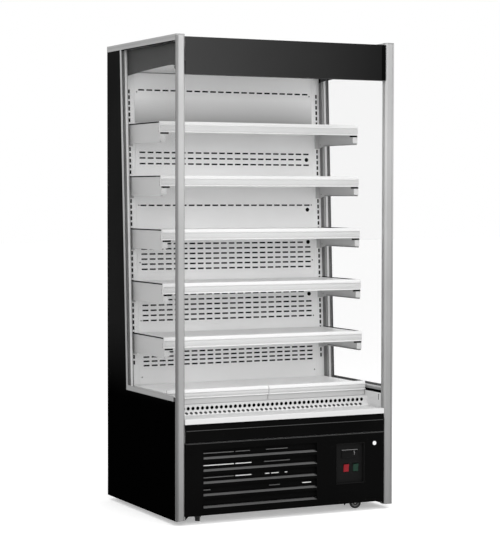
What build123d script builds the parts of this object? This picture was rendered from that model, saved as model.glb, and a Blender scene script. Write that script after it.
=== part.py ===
"""Open multideck display fridge.

Millimetres, +Z up, origin on the floor under the middle of the case, front facing -Y.
"""
import os
from math import cos, radians, sin, tan

from build123d import *

os.makedirs("parts", exist_ok=True)

# ---------------------------------------------------------------- overall sizes
case_width = 1015.0
body_depth = 750.0
case_height = 1994.0
ground_gap = 20.0            # floor to the bottom of posts and side panels
rear_cover_proud = 8.0       # machine cover behind the back skin
seam = 0.3                   # gap between pieces that seat on each other
few_sides = 8                # sides of small and hidden round shapes
some_sides = 16              # sides of the fan openings
wheel_sides = 24
sheet = 1.5                  # general sheet metal
thin_sheet = 1.2             # interior sheet metal

# ---------------------------------------------------------------- side frames
side_wall = 32.0             # foamed side and glazed unit
post_width = 40.0
post_lip = 11.0              # what the post shows from the side
post_depth = 30.0            # return inside the side wall
post_chamfer = 8.0
post_corner = 3.0
post_groove = 2.0
post_groove_inset = 9.0
post_chamber_depth = 5.0
post_web = 3.0
cap_height = 6.0
cap_plug = 10.0
top_rail_height = 25.0
rail_pocket = 12.0
rail_rib = 1.0
trim_width = 22.0
trim_leaf = 2.0              # aluminium either side of the glass
trim_base = 8.0
pane = 4.0
spacer_width = 10.0
sill_below_deck = 17.0       # deck top to the top of the black lower side
glass_rear = 188.0           # rear edge of the glass trim, at lean_height
lean = 2.8                   # slope of back panel, uprights and rear glass edge, degrees
lean_height = 1248.0

# ---------------------------------------------------------------- canopy
header_drop = 9.5            # case top to the header's top
header_height = 151.0
header_setback = 2.0         # header, lip and lower panels behind the posts
header_lip = 56.0
header_top_return = 28.0
roof_thickness = 46.0
roof_recess = 8.0
roof_rim = 30.0
canopy_drop = 116.0          # case top to the underside of the air canopy
canopy_front = 34.0          # canopy front wall behind the case front
honeycomb_depth = 95.0
honeycomb_height = 24.0
honeycomb_front = 79.0       # behind the case front
honeycomb_cells = 16
honeycomb_bar = 4.0
honeycomb_side = 35.5        # honeycomb to the side wall
honeycomb_flange = 6.0
lamp_side = 45.5             # lamp end to the side wall
lamp_width = 26.0
lamp_body = 12.0
end_plate = 2.0
end_plate_rear_dip = 22.0    # below the canopy's underside
end_plate_crown_dip = 3.0
end_plate_nose_dip = 25.0
end_plate_nose_run = 44.0

# ---------------------------------------------------------------- back and uprights
upright_width = 40.0
upright_depth = 20.0
upright_sheet = 2.0
upright_face = 208.2         # front face of the uprights at lean_height
upright_foot_drop = 54.0     # deck top to the uprights' foot
slot_pitch = 25.0
slot_height = 16.0
slot_width = 5.0
upper_slot_count = 6
lower_slot_count = 5
slot_inset = 15.2            # slot line from the upright's outer side
rear_wall_thickness = 40.0
rear_rib = 3.0
rear_rib_width = 14.0
rear_rib_pitch = 150.0
back_flange = 14.0
air_slot_height = 5.0
air_slot_length = 150.0
air_slot_pitch = 172.0
air_slot_edge = 14.0         # last slot to the panel's edge
air_row_rises = [154.0, 83.0, 102.0, 104.0, 106.0, 108.5]    # middle row above each shelf and the deck
air_row_counts = [1, 3, 1, 6, 6, 4]
air_row_pitches = [22.0, 24.5, 22.0, 22.0, 22.0, 18.6]
sensor_hole = 9.0
sensor_inset = 31.0
sensor_rises = [82.0, 81.5, 160.0, 150.0]    # above the second shelf and those below it

# ---------------------------------------------------------------- shelves
shelf_count = 5
top_shelf_drop = 230.0       # canopy to the tray top of the highest shelf
lowest_bay = 200.0           # least height kept above the deck
shelf_depth = 361.0          # upright face to the front of the price rail
tray_rear_gap = 6.0
tray_fold = 20.0
bracket_sheet = 2.0
bracket_top = 3.0            # above the tray
bracket_drop = 82.0          # tray top to the bracket's lower edge
bracket_flange = 22.5
bracket_nose = 4.0           # bracket front behind the rail front
bracket_gap = 5.5            # bracket web to the glass
bracket_knee = 10.0
bracket_knee_run = 45.0
bracket_lip = 10.0
bracket_corner = 7.0
bracket_hang = 12.0          # tray top to the hooks' bearing edge
hook_thick = 3.0
hook_height = 11.0
hook_reach = 3.0
hook_gap = 1.2
hook_drop = 5.0
tab_reach = 5.0
rail_height = 46.0
rail_above_tray = 5.0
rail_thickness = 12.0
rail_bead = 3.0
rail_lip = 12.0
rail_recess = 4.0
rail_end_gap = 3.5           # rail end to the glass

# ---------------------------------------------------------------- deck and air return
deck_above_tub = 190.0       # underside of the foamed tub to the deck top
deck_front = 171.0           # deck front behind the case front
deck_rear_gap = 5.0
deck_fold = 50.0
deck_rail_top = 13.0
deck_rail_height = 39.0
deck_joint = 1.0             # half the seam between the pans
deck_ledge = 14.0            # side ledges that carry the pans
grille_flange = 30.0
grille_face = 27.0
grille_slope = 15.5
grille_ahead = 9.0
grille_row = 9.5             # first row of holes above the bend
hole_width = 13.0
hole_pitch = 21.8
hole_margin = 35.0           # last hole to the side wall
lip_height = 22.0
lip_round = 5.0
lip_above_tub = 78.5
tub_wall = 26.0
tub_floor = 334.0            # underside of the foamed tub, above the floor
apron_fold_drop = 27.5       # below the lip
apron_slope = 4.0

# ---------------------------------------------------------------- machine compartment
panel_bottom = 36.0
panel_gap = 2.0
panel_return = 15.0
panel_corner = 14.0
louvre_count = 5
louvre_low = 71.0            # lower edge of the lowest opening
louvre_headroom = 28.8       # tub floor down to the highest opening
louvre_left = 122.5          # from the case side
louvre_to_control = 94.0
louvre_opening = 33.0
louvre_blade = 17.0
louvre_angle = 35.0
control_side = 137.5         # from the case side
control_width = 136.0
control_height = 173.0
control_drop = 40.0          # tub floor down to the recess
control_recess = 12.0
control_rim = 3.0
control_wall = 2.5
switch_width = 26.0
switch_height = 36.0
switch_rise = 66.0           # above the recess's lower edge
switch_inset = 54.0          # first rocker from the recess's left edge
switch_spacing = 46.0
switch_crown = 7.0
switch_pin = 1.5
switch_fit = 0.5
display_width = 78.0
display_height = 35.0
display_inset = 30.0
display_rise = 109.0
display_proud = 4.0
controller_depth = 28.0
rocker_tilt = 8.0
base_level = 69.0            # underside of the caster plates
caster_plate = 3.0
caster_plate_size = 70.0
base_flange = 24.0
rear_cover_low = 26.0
rear_cover_gap = 121.0       # tub floor down to the rear cover's top
rear_cover_inset = 6.0
rear_slot_count = 6
rear_slot_height = 8.0
rear_slot_pitch = 22.0
rear_slot_length = 254.0
rear_slot_spacing = 282.0
gland_radius = 11.0
gland_bore = 4.5

condenser_width = 480.0
condenser_headroom = 50.5
condenser_thickness = 60.0
condenser_side = 145.5       # from the case side
condenser_front = 52.0       # behind the case front
core_fin = 12.0
core_grooves = 8
shroud_depth = 36.0
condenser_fan = 92.0
evaporator_side = 75.5       # from the side wall
evaporator_depth = 230.0
evaporator_height = 84.0
evaporator_front = -40.0
evaporator_fan = 38.0
evaporator_fan_plate = -120.0
tube_radius = 5.0
shroud_sheet = 2.0
blade_clearance = 3.0
blade_count = 4
blade_pitch = 28.0
blade_thickness = 1.5
shaft_radius = 3.0
shaft_fit = 0.05
compressor_radius = 78.0
compressor_headroom = 70.5
compressor_x = 250.0
compressor_y = 60.0
drip_width = 260.0
drip_depth = 150.0
drip_height = 40.0
drip_x = -150.0
drip_rear = 51.0             # behind the tray, to the case's rear

# ---------------------------------------------------------------- casters
wheel_radius = 25.0
wheel_width = 20.0
wheel_round = 4.0
hub_radius = 9.0
axle_radius = 3.0
axle_fit = 0.05
fork_sheet = 2.0
fork_half = 11.0             # fork leg inside face from the wheel's middle
fork_disc = 18.0
trail = 22.0
kingpin_radius = 5.0
caster_inset = 90.5          # kingpins from the side wall
caster_front = 63.0          # kingpins behind the case front
caster_rear = 71.0           # rear kingpins ahead of the back skin
front_left_yaw = 64.0
front_right_yaw = 154.0
rear_yaw = 90.0
pedal_width = 21.0
pedal_thick = 5.0
pedal_reach = 56.0
pedal_pin = 2.0
pedal_pin_x = 34.0
pedal_pin_z = 54.5           # above the floor

# ---------------------------------------------------------------- worked out
case_front = -(body_depth + rear_cover_proud) / 2
case_rear = case_front + body_depth
half_width = case_width / 2
inner_x = half_width - side_wall
wall_front = case_front + post_lip
glazing = side_wall - 2 * trim_leaf
rear_wall_front = case_rear - rear_wall_thickness
between_ends = inner_x - end_plate - 2 * seam
slope = tan(radians(lean))

rail_level = case_height - top_rail_height
header_top = case_height - header_drop
header_bottom = header_top - header_height
roof_top = header_top - sheet
roof_under = roof_top - roof_thickness
canopy_height = case_height - canopy_drop
honeycomb_width = 2 * (inner_x - honeycomb_side)
lamp_length = 2 * (inner_x - lamp_side)

deck_top = tub_floor + deck_above_tub
glass_sill = deck_top - sill_below_deck
lip_bottom = tub_floor + lip_above_tub
apron_fold = lip_bottom - apron_fold_drop
upright_foot = deck_top - upright_foot_drop
holes_per_row = int(2 * (inner_x - hole_margin) / hole_pitch) + 1

top_shelf = canopy_height - top_shelf_drop
slots_per_shelf = int((top_shelf - deck_top - lowest_bay) / ((shelf_count - 1) * slot_pitch))
shelf_pitch = slots_per_shelf * slot_pitch * cos(radians(lean))
shelf_tops = [top_shelf - number * shelf_pitch for number in range(shelf_count)]

base_top = base_level + caster_plate + sheet
caster_x = inner_x - caster_inset
rear_cover_high = tub_floor - rear_cover_gap
louvre_pitch = (tub_floor - louvre_headroom - louvre_opening - louvre_low) / (louvre_count - 1)
control_left = half_width - control_side - control_width
control_low = tub_floor - control_drop - control_height
condenser_height = tub_floor - condenser_headroom - base_top
condenser_x = condenser_width / 2 + condenser_side - half_width
compressor_height = tub_floor - compressor_headroom - base_top
evaporator_width = 2 * (inner_x - evaporator_side)


def face_y(z):
    """Y of the uprights' front face at height z."""
    return upright_face + (z - lean_height) * slope


def glass_y(z):
    """Y of the rear edge of the glass trim at height z."""
    return glass_rear + (z - lean_height) * slope


def save(piece, name):
    """Label one finished piece and write its file."""
    piece.label = name
    export_step(piece, f"parts/{name}.step")


def block(x_span, y_span, z_span, mode=Mode.ADD):
    """A rectangular block between three pairs of limits."""
    middle = [(span[0] + span[1]) / 2 for span in (x_span, y_span, z_span)]
    size = [span[1] - span[0] for span in (x_span, y_span, z_span)]
    with Locations(tuple(middle)):
        Box(*size, mode=mode)


def outline(points, plane, amount, mode=Mode.ADD):
    """Extrude a straight-sided outline drawn on a plane."""
    with BuildSketch(plane) as section:
        with BuildLine():
            Polyline(*points, close=True)
        make_face()
    extrude(section.sketch, amount=amount, mode=mode)


def folded(points, thickness, plane, amount):
    """Extrude a folded sheet lying to the left of its outer line."""
    line = [Vector(*point) for point in points]
    runs = [(after - before).normalized() for before, after in zip(line, line[1:])]
    normals = [Vector(-run.Y, run.X) for run in runs]
    inner = [line[0] + normals[0] * thickness]
    for corner, before, after in zip(line[1:], normals, normals[1:]):
        inner.append(corner + (before + after) * (thickness / (1 + before.dot(after))))
    inner.append(line[-1] + normals[-1] * thickness)
    outline(line + inner[::-1], plane, amount)


def across(half):
    """The Y-Z plane at the left end of a span that runs across the case."""
    return Plane.YZ.offset(-half)


# ---------------------------------------------------------------- side frames
def make_side_frames():
    """Foamed sides, posts, caps, top rails, trims, glass, spacers and end plates."""
    with BuildPart() as side_panel:
        outline([(wall_front, ground_gap), (case_rear, ground_gap), (case_rear, rail_level),
                 (glass_y(rail_level), rail_level), (glass_y(glass_sill), glass_sill),
                 (wall_front, glass_sill)], Plane.YZ.offset(inner_x), side_wall)
        fillet(side_panel.edges().filter_by(Axis.Z).group_by(Axis.Y)[-1].sort_by(Axis.X)[-1],
               post_corner)
        ledge_top = deck_top - tray_fold - seam
        block((inner_x - deck_ledge, inner_x),
              (case_front + deck_front + deck_ledge, face_y(deck_top) - deck_fold),
              (ledge_top - 2 * sheet, ledge_top))
    save_pair(side_panel.part, "side_panel")

    post_top = case_height - cap_height
    inside = half_width - post_width
    groove_x = half_width - post_groove_inset
    chamber_low = case_front + post_web
    with BuildPart() as front_post:
        with BuildSketch(Plane.XY.offset(ground_gap)):
            with BuildLine():
                Polyline((inside, case_front + post_chamfer), (inside, case_front + post_depth),
                         (inner_x - seam, case_front + post_depth), (inner_x - seam, wall_front - seam),
                         (half_width, wall_front - seam), (half_width, case_front + post_corner))
                RadiusArc((half_width, case_front + post_corner),
                          (half_width - post_corner, case_front), post_corner)
                Polyline((half_width - post_corner, case_front),
                         (groove_x, case_front), (groove_x, case_front + post_groove),
                         (groove_x - post_groove, case_front + post_groove),
                         (groove_x - post_groove, case_front), (inside + post_chamfer, case_front),
                         (inside, case_front + post_chamfer))
            make_face()
            with Locations((groove_x - post_width / 4, chamber_low + post_chamber_depth / 2)):
                Rectangle(post_width / 3, post_chamber_depth, mode=Mode.SUBTRACT)
        extrude(amount=post_top - ground_gap)
    save_pair(front_post.part, "front_post")

    with BuildPart() as post_end_caps:
        with BuildSketch(Plane.XY.offset(post_top)):
            with BuildLine():
                Polyline((inside, case_front + post_chamfer), (inside, case_front + post_depth),
                         (inner_x - seam, case_front + post_depth), (inner_x - seam, wall_front - seam),
                         (half_width, wall_front - seam), (half_width, case_front + post_corner),
                         (half_width - post_corner, case_front), (inside + post_chamfer, case_front),
                         close=True)
            make_face()
        extrude(amount=cap_height)
        with BuildSketch(Plane.XY.offset(post_top)):
            with Locations((groove_x - post_width / 4, chamber_low + post_chamber_depth / 2)):
                Rectangle(post_width / 3 - 2 * seam, post_chamber_depth - 2 * seam)
        extrude(amount=-cap_plug)
        mirror(about=Plane.YZ)
    save(post_end_caps.part, "post_end_caps")

    with BuildPart() as top_rails:
        with BuildSketch(Plane.XZ.offset(-wall_front)):
            with BuildLine():
                Polyline((inner_x, rail_level), (inner_x + trim_leaf, rail_level),
                         (inner_x + trim_leaf, rail_level + rail_pocket),
                         (half_width - trim_leaf, rail_level + rail_pocket),
                         (half_width - trim_leaf, rail_level), (half_width, rail_level),
                         (half_width, case_height), (inner_x, case_height), close=True)
            make_face()
            rib_level = rail_level + top_rail_height / 2
            with Locations((half_width, rib_level), (half_width, rib_level + 3 * rail_rib)):
                Rectangle(2 * rail_rib, rail_rib, mode=Mode.SUBTRACT)
        extrude(amount=-(case_rear - wall_front))
        mirror(about=Plane.YZ)
    save(top_rails.part, "top_rails")

    run = trim_width / cos(radians(lean))
    base_run = trim_base / cos(radians(lean))
    trim_top = rail_level - seam
    with BuildPart() as glass_trims:
        outline([(wall_front, glass_sill), (glass_y(glass_sill), glass_sill),
                 (glass_y(trim_top), trim_top), (glass_y(trim_top) - run, trim_top),
                 (glass_y(glass_sill + trim_width) - run, glass_sill + trim_width),
                 (wall_front, glass_sill + trim_width)], Plane.YZ.offset(inner_x), side_wall)
        outline([(wall_front - seam, glass_sill + trim_base),
                 (glass_y(glass_sill + trim_base) - base_run, glass_sill + trim_base),
                 (glass_y(case_height) - base_run, case_height),
                 (wall_front - seam, case_height)], Plane.YZ.offset(inner_x + trim_leaf), glazing,
                mode=Mode.SUBTRACT)
        mirror(about=Plane.YZ)
    save(glass_trims.part, "glass_trims")

    glass_low = glass_sill + trim_base + seam
    glass_high = rail_level + rail_pocket - seam
    glass_front = wall_front + seam
    rear_run = base_run + seam

    def unit_outline(inset):
        low = glass_low + inset
        high = glass_high - inset
        rear_low = glass_y(low) - rear_run - inset
        rear_high = glass_y(high) - rear_run - inset
        return [(glass_front + inset, low), (rear_low, low), (rear_high, high),
                (glass_front + inset, high)]

    unit_inside = inner_x + trim_leaf + seam
    unit_outside = half_width - trim_leaf - seam
    with BuildPart() as side_glasses:
        outline(unit_outline(0), Plane.YZ.offset(unit_inside), pane)
        outline(unit_outline(0), Plane.YZ.offset(unit_outside - pane), pane)
        mirror(about=Plane.YZ)
    save(side_glasses.part, "side_glasses")

    cavity = unit_outside - unit_inside - 2 * pane
    with BuildPart() as glass_spacers:
        outline(unit_outline(0), Plane.YZ.offset(unit_inside + pane), cavity)
        outline(unit_outline(spacer_width), Plane.YZ.offset(unit_inside + pane), cavity,
                mode=Mode.SUBTRACT)
        mirror(about=Plane.YZ)
    save(glass_spacers.part, "glass_spacers")

    plate_front = case_front + post_depth + seam
    nose_y = plate_front + end_plate_nose_run
    plate_top = rail_level + seam
    plate_rear_low = canopy_height - end_plate_rear_dip
    crown = canopy_height - end_plate_crown_dip
    nose = canopy_height - end_plate_nose_dip
    rear_y = glass_y(plate_rear_low)
    with BuildPart() as canopy_ends:
        with BuildSketch(Plane.YZ.offset(inner_x - seam - end_plate)):
            with BuildLine():
                Polyline((rear_y, plate_rear_low), (rear_y, plate_top), (plate_front, plate_top),
                         (plate_front, nose))
                Spline((plate_front, nose), (nose_y, crown), tangents=[(0.5, 1), (1, 0.1)])
                Spline((nose_y, crown), (rear_y, plate_rear_low), tangents=[(1, 0), (1, -0.09)])
            make_face()
        extrude(amount=end_plate)
        mirror(about=Plane.YZ)
    save(canopy_ends.part, "canopy_ends")


def save_pair(right, name):
    """Save a right-hand piece and its mirror image."""
    with BuildPart() as left:
        mirror(right, about=Plane.YZ)
    save(left.part, f"{name}_left")
    save(right, f"{name}_right")


# ---------------------------------------------------------------- canopy
def make_canopy():
    """Roof, header fascia, canopy liner, air honeycomb and lamp."""
    header_half = half_width - post_width - seam
    header_front = case_front + header_setback
    roof_front = header_front + sheet + seam
    with BuildPart() as roof_panel:
        block((-header_half, header_half), (roof_front, case_front + post_depth + seam),
              (roof_under, roof_top - seam))
        block((-between_ends, between_ends), (case_front + post_depth + seam, case_rear),
              (roof_under, roof_top - seam))
        block((-between_ends + roof_rim, between_ends - roof_rim),
              (case_front + post_depth + roof_rim, case_rear - roof_rim),
              (roof_top - roof_recess, roof_top), mode=Mode.SUBTRACT)
        recess = roof_panel.edges().filter_by(Axis.Z).group_by(SortBy.LENGTH)[0]
        fillet(recess, roof_rim / 2)
    save(roof_panel.part, "roof_panel")

    header_return = canopy_front - header_setback - seam
    with BuildPart() as header_fascia:
        folded([(header_front + header_top_return, header_top), (header_front, header_top),
                (header_front, header_bottom), (header_front + header_return, header_bottom),
                (header_front + header_return, header_bottom + header_lip)],
               sheet, across(header_half), 2 * header_half)
    save(header_fascia.part, "header_fascia")

    liner_front = case_front + canopy_front
    comb_front = case_front + honeycomb_front
    liner_rear = face_y(canopy_height) - seam
    with BuildPart() as canopy_liner:
        folded([(liner_front, roof_under - seam), (liner_front, canopy_height),
                (liner_rear, canopy_height)], thin_sheet, across(between_ends), 2 * between_ends)
        block((-honeycomb_width / 2, honeycomb_width / 2), (comb_front, comb_front + honeycomb_depth),
              (canopy_height - sheet, canopy_height + 2 * sheet), mode=Mode.SUBTRACT)
    save(canopy_liner.part, "canopy_liner")

    comb_low = canopy_height - honeycomb_height / 2
    flange_low = canopy_height + thin_sheet
    cell_pitch = (honeycomb_width - 2 * seam) / honeycomb_cells
    with BuildPart() as air_honeycomb:
        block((-honeycomb_width / 2 + seam, honeycomb_width / 2 - seam),
              (comb_front + seam, comb_front + honeycomb_depth - seam),
              (comb_low, comb_low + honeycomb_height))
        block((-honeycomb_width / 2 - honeycomb_flange, honeycomb_width / 2 + honeycomb_flange),
              (comb_front - honeycomb_flange, comb_front + honeycomb_depth + honeycomb_flange),
              (flange_low, comb_low + honeycomb_height))
        with BuildSketch(Plane.XY.offset(comb_low)):
            with Locations((0, comb_front + honeycomb_depth / 2)):
                with GridLocations(cell_pitch, 0, honeycomb_cells, 1):
                    Rectangle(cell_pitch - honeycomb_bar, honeycomb_depth - 4 * honeycomb_bar)
        extrude(amount=honeycomb_height, mode=Mode.SUBTRACT)
    save(air_honeycomb.part, "air_honeycomb")

    lamp_y = (liner_front + comb_front) / 2 - honeycomb_flange / 2
    lamp_low = canopy_height - lamp_body
    with BuildPart() as led_lamp:
        with BuildSketch(across(lamp_length / 2)):
            with BuildLine():
                Polyline((lamp_y - lamp_width / 2, lamp_low), (lamp_y - lamp_width / 2, canopy_height),
                         (lamp_y + lamp_width / 2, canopy_height), (lamp_y + lamp_width / 2, lamp_low))
                RadiusArc((lamp_y + lamp_width / 2, lamp_low), (lamp_y - lamp_width / 2, lamp_low),
                          0.6 * lamp_width)
            make_face()
        extrude(amount=lamp_length)
    save(led_lamp.part, "led_lamp")


# ---------------------------------------------------------------- back
def up_lean(z):
    """Distance up the leaning plane from the uprights' foot to height z."""
    return (z - upright_foot) / cos(radians(lean))


def air_slot_spots(panel_half, sensor_x, sensor_heights):
    """Middles of the whole air slots, and of the half ones beside the sensor holes."""
    count = int((2 * (panel_half - air_slot_edge) + air_slot_pitch - air_slot_length) / air_slot_pitch)
    whole, half = [], []
    supports = [*shelf_tops, deck_top]
    for support, rise, rows, row_pitch in zip(supports, air_row_rises, air_row_counts, air_row_pitches):
        for row in range(rows):
            level = support + rise + (row - (rows - 1) / 2) * row_pitch
            beside = any(abs(level - z) < sensor_hole + air_slot_height for z in sensor_heights)
            for column in range(count):
                x = (column - (count - 1) / 2) * air_slot_pitch
                reach = x + air_slot_length / 2
                if beside and reach > sensor_x - sensor_hole - air_slot_height:
                    half.append((x - air_slot_length / 4, up_lean(level)))
                else:
                    whole.append((x, up_lean(level)))
    return whole, half


def make_back():
    """Foamed rear wall, perforated back panel and slotted uprights."""
    with BuildPart() as rear_wall:
        block((-inner_x + seam, inner_x - seam), (rear_wall_front, case_rear),
              (rear_cover_high + seam, roof_under - seam))
        with BuildSketch(Plane.XZ.offset(-case_rear)):
            with Locations((0, (rear_cover_high + roof_under) / 2)):
                with GridLocations(rear_rib_pitch, 0, 6, 1):
                    Rectangle(rear_rib_width, roof_under - rear_cover_high - rear_rib_pitch)
        extrude(amount=rear_rib, mode=Mode.SUBTRACT)
    save(rear_wall.part, "rear_wall")

    upright_out = inner_x - seam
    upright_in = upright_out - upright_width
    foot = Vector(0, face_y(upright_foot), upright_foot)
    rise = (0, sin(radians(lean)), cos(radians(lean)))
    height = (canopy_height - seam - upright_foot) / cos(radians(lean)) - upright_depth * slope
    slot_line = upright_out - slot_inset
    lowest_hang = up_lean(shelf_tops[-1] - bracket_hang)
    slot_rows = slots_per_shelf * (shelf_count - 1) + upper_slot_count + lower_slot_count + 1
    first_slot = lowest_hang - lower_slot_count * slot_pitch + slot_height / 2
    with BuildPart() as shelf_uprights:
        folded_plane = Plane(origin=foot, x_dir=(1, 0, 0), z_dir=rise)
        folded([(upright_in, upright_depth), (upright_in, 0), (upright_out, 0),
                (upright_out, upright_depth)], upright_sheet, folded_plane, height)
        face_plane = Plane(origin=foot, x_dir=(1, 0, 0), z_dir=(0, -rise[2], rise[1]))
        with BuildSketch(face_plane):
            with Locations(*[(slot_line, first_slot + row * slot_pitch) for row in range(slot_rows)]):
                Rectangle(slot_width, slot_height)
        extrude(amount=-2 * upright_sheet, mode=Mode.SUBTRACT)
        mirror(about=Plane.YZ)
    save(shelf_uprights.part, "shelf_uprights")

    panel_half = upright_in - seam
    sensor_x = panel_half - sensor_inset
    panel_plane = Plane(origin=foot, x_dir=(1, 0, 0), z_dir=(0, -rise[2], rise[1]))
    sensor_heights = [top + rise for top, rise in zip(shelf_tops[1:], sensor_rises)]
    long_slots, short_slots = air_slot_spots(panel_half, sensor_x, sensor_heights)
    with BuildPart() as back_panel:
        with BuildSketch(panel_plane):
            with Locations((0, height / 2)):
                Rectangle(2 * panel_half, height)
            with Locations(*long_slots):
                Rectangle(air_slot_length, air_slot_height, mode=Mode.SUBTRACT)
            with Locations(*short_slots):
                Rectangle(air_slot_length / 2, air_slot_height, mode=Mode.SUBTRACT)
            with Locations(*[(sensor_x, up_lean(z)) for z in sensor_heights]):
                RegularPolygon(sensor_hole, few_sides, mode=Mode.SUBTRACT)
        extrude(amount=-thin_sheet)
        with BuildSketch(panel_plane):
            with Locations((panel_half - thin_sheet / 2, height / 2),
                           (-panel_half + thin_sheet / 2, height / 2)):
                Rectangle(thin_sheet, height)
        extrude(amount=-back_flange)
    save(back_panel.part, "back_panel")


# ---------------------------------------------------------------- shelves
def rail_outline(front, top, height):
    """Ticket rail section: sloped lip, bead, recessed label strip, bead."""
    back = front + rail_thickness
    low = top - height
    bead = top - rail_lip
    recess = front + rail_recess
    return [(back, low), (back, top - sheet), (back - rail_recess, top), (recess + sheet, top - sheet),
            (front, bead), (front, bead - rail_bead), (recess, bead - rail_bead - sheet),
            (recess, low + rail_bead + sheet), (front, low + rail_bead), (front, low + sheet),
            (front + sheet, low)]


def make_shelf(number):
    """One shelf: its tray, its pair of brackets and its price rail."""
    top = shelf_tops[number - 1]
    bearing = top - bracket_hang
    front = face_y(bearing) - shelf_depth
    tray_front = front + rail_thickness
    tray_rear = face_y(top) - tray_rear_gap
    web_out = inner_x - bracket_gap
    web_in = web_out - bracket_sheet
    ledge = top - tray_fold
    tray_half = web_in - seam
    with BuildPart() as tray:
        block((-tray_half, tray_half), (tray_front, tray_rear), (ledge, top))
        block((-tray_half + thin_sheet, tray_half - thin_sheet),
              (tray_front + thin_sheet, tray_rear - thin_sheet), (ledge - sheet, top - thin_sheet),
              mode=Mode.SUBTRACT)
        chamfer(tray.edges().filter_by(Axis.X).group_by(Axis.Z)[-1], thin_sheet / 2)
    save(tray.part, f"shelf_{number}_tray")

    with BuildPart() as price_rail:
        rail_half = inner_x - rail_end_gap
        outline(rail_outline(front, top + rail_above_tray, rail_height), across(rail_half), 2 * rail_half)
    save(price_rail.part, f"shelf_{number}_price_rail")

    low = top - bracket_drop
    knee = low - bracket_knee
    rear_top = face_y(top) - tray_rear_gap + seam
    rear_low = face_y(knee) - seam
    flange_top = bearing + seam
    under_rail = top + rail_above_tray - rail_height - seam
    nose = front + bracket_nose
    half_slot = slot_height / 2
    neck_x = inner_x - seam - slot_inset
    foot = Vector(0, face_y(knee) - seam, knee)
    rise = (0, sin(radians(lean)), cos(radians(lean)))
    rear_plane = Plane(origin=foot, x_dir=(1, 0, 0), z_dir=rise)
    tab_bearing = bearing - 3 * slot_pitch * cos(radians(lean))
    with BuildPart() as brackets:
        with BuildSketch(Plane.YZ.offset(web_in)):
            with BuildLine():
                Polyline((rear_top, top + bracket_top), (tray_front + seam, top + bracket_top),
                         (tray_front + seam, under_rail), (nose, under_rail), (nose, low + bracket_corner),
                         (nose + bracket_corner, low), (rear_low - bracket_knee_run, low),
                         (rear_low, knee), (face_y(flange_top) - seam, flange_top),
                         (rear_top, flange_top + seam), (rear_top, top + bracket_top))
            make_face()
        extrude(amount=bracket_sheet)
        block((web_out - bracket_flange, web_out), (tray_front + seam, tray_rear - slot_height),
              (ledge - seam - bracket_sheet, ledge - seam))
        block((web_out - bracket_flange, web_out), (nose, nose + bracket_sheet),
              (low + bracket_corner, under_rail))
        block((web_out - bracket_lip, web_out), (nose + bracket_corner, rear_low - bracket_knee_run),
              (low, low + bracket_sheet))
        with BuildSketch(rear_plane):
            with Locations((web_out - bracket_flange / 2, -bracket_sheet / 2)):
                Rectangle(bracket_flange, bracket_sheet)
        extrude(amount=(flange_top - knee) / cos(radians(lean)))
        hook_front = face_y(bearing) - seam
        hook_back = face_y(bearing) + upright_sheet + hook_gap + hook_reach
        lip_front = hook_back - hook_reach
        neck = (neck_x - hook_thick / 2, neck_x + hook_thick / 2)
        outline([(hook_front - bracket_sheet, bearing + seam), (lip_front, bearing + seam),
                 (lip_front, bearing - hook_drop), (hook_back, bearing - hook_drop),
                 (hook_back, bearing + hook_height - hook_reach),
                 (hook_back - hook_reach, bearing + hook_height),
                 (hook_front - bracket_sheet, bearing + hook_height)],
                Plane.YZ.offset(neck[0]), hook_thick)
        block(neck, (hook_front - 2 * bracket_sheet, hook_front - bracket_sheet / 2),
              (ledge, bearing + hook_height))
        block(neck, (face_y(tab_bearing) - seam - bracket_sheet, face_y(tab_bearing) + tab_reach),
              (tab_bearing + seam, tab_bearing + half_slot + seam))
        mirror(about=Plane.YZ)
    save(brackets.part, f"shelf_{number}_brackets")


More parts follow.
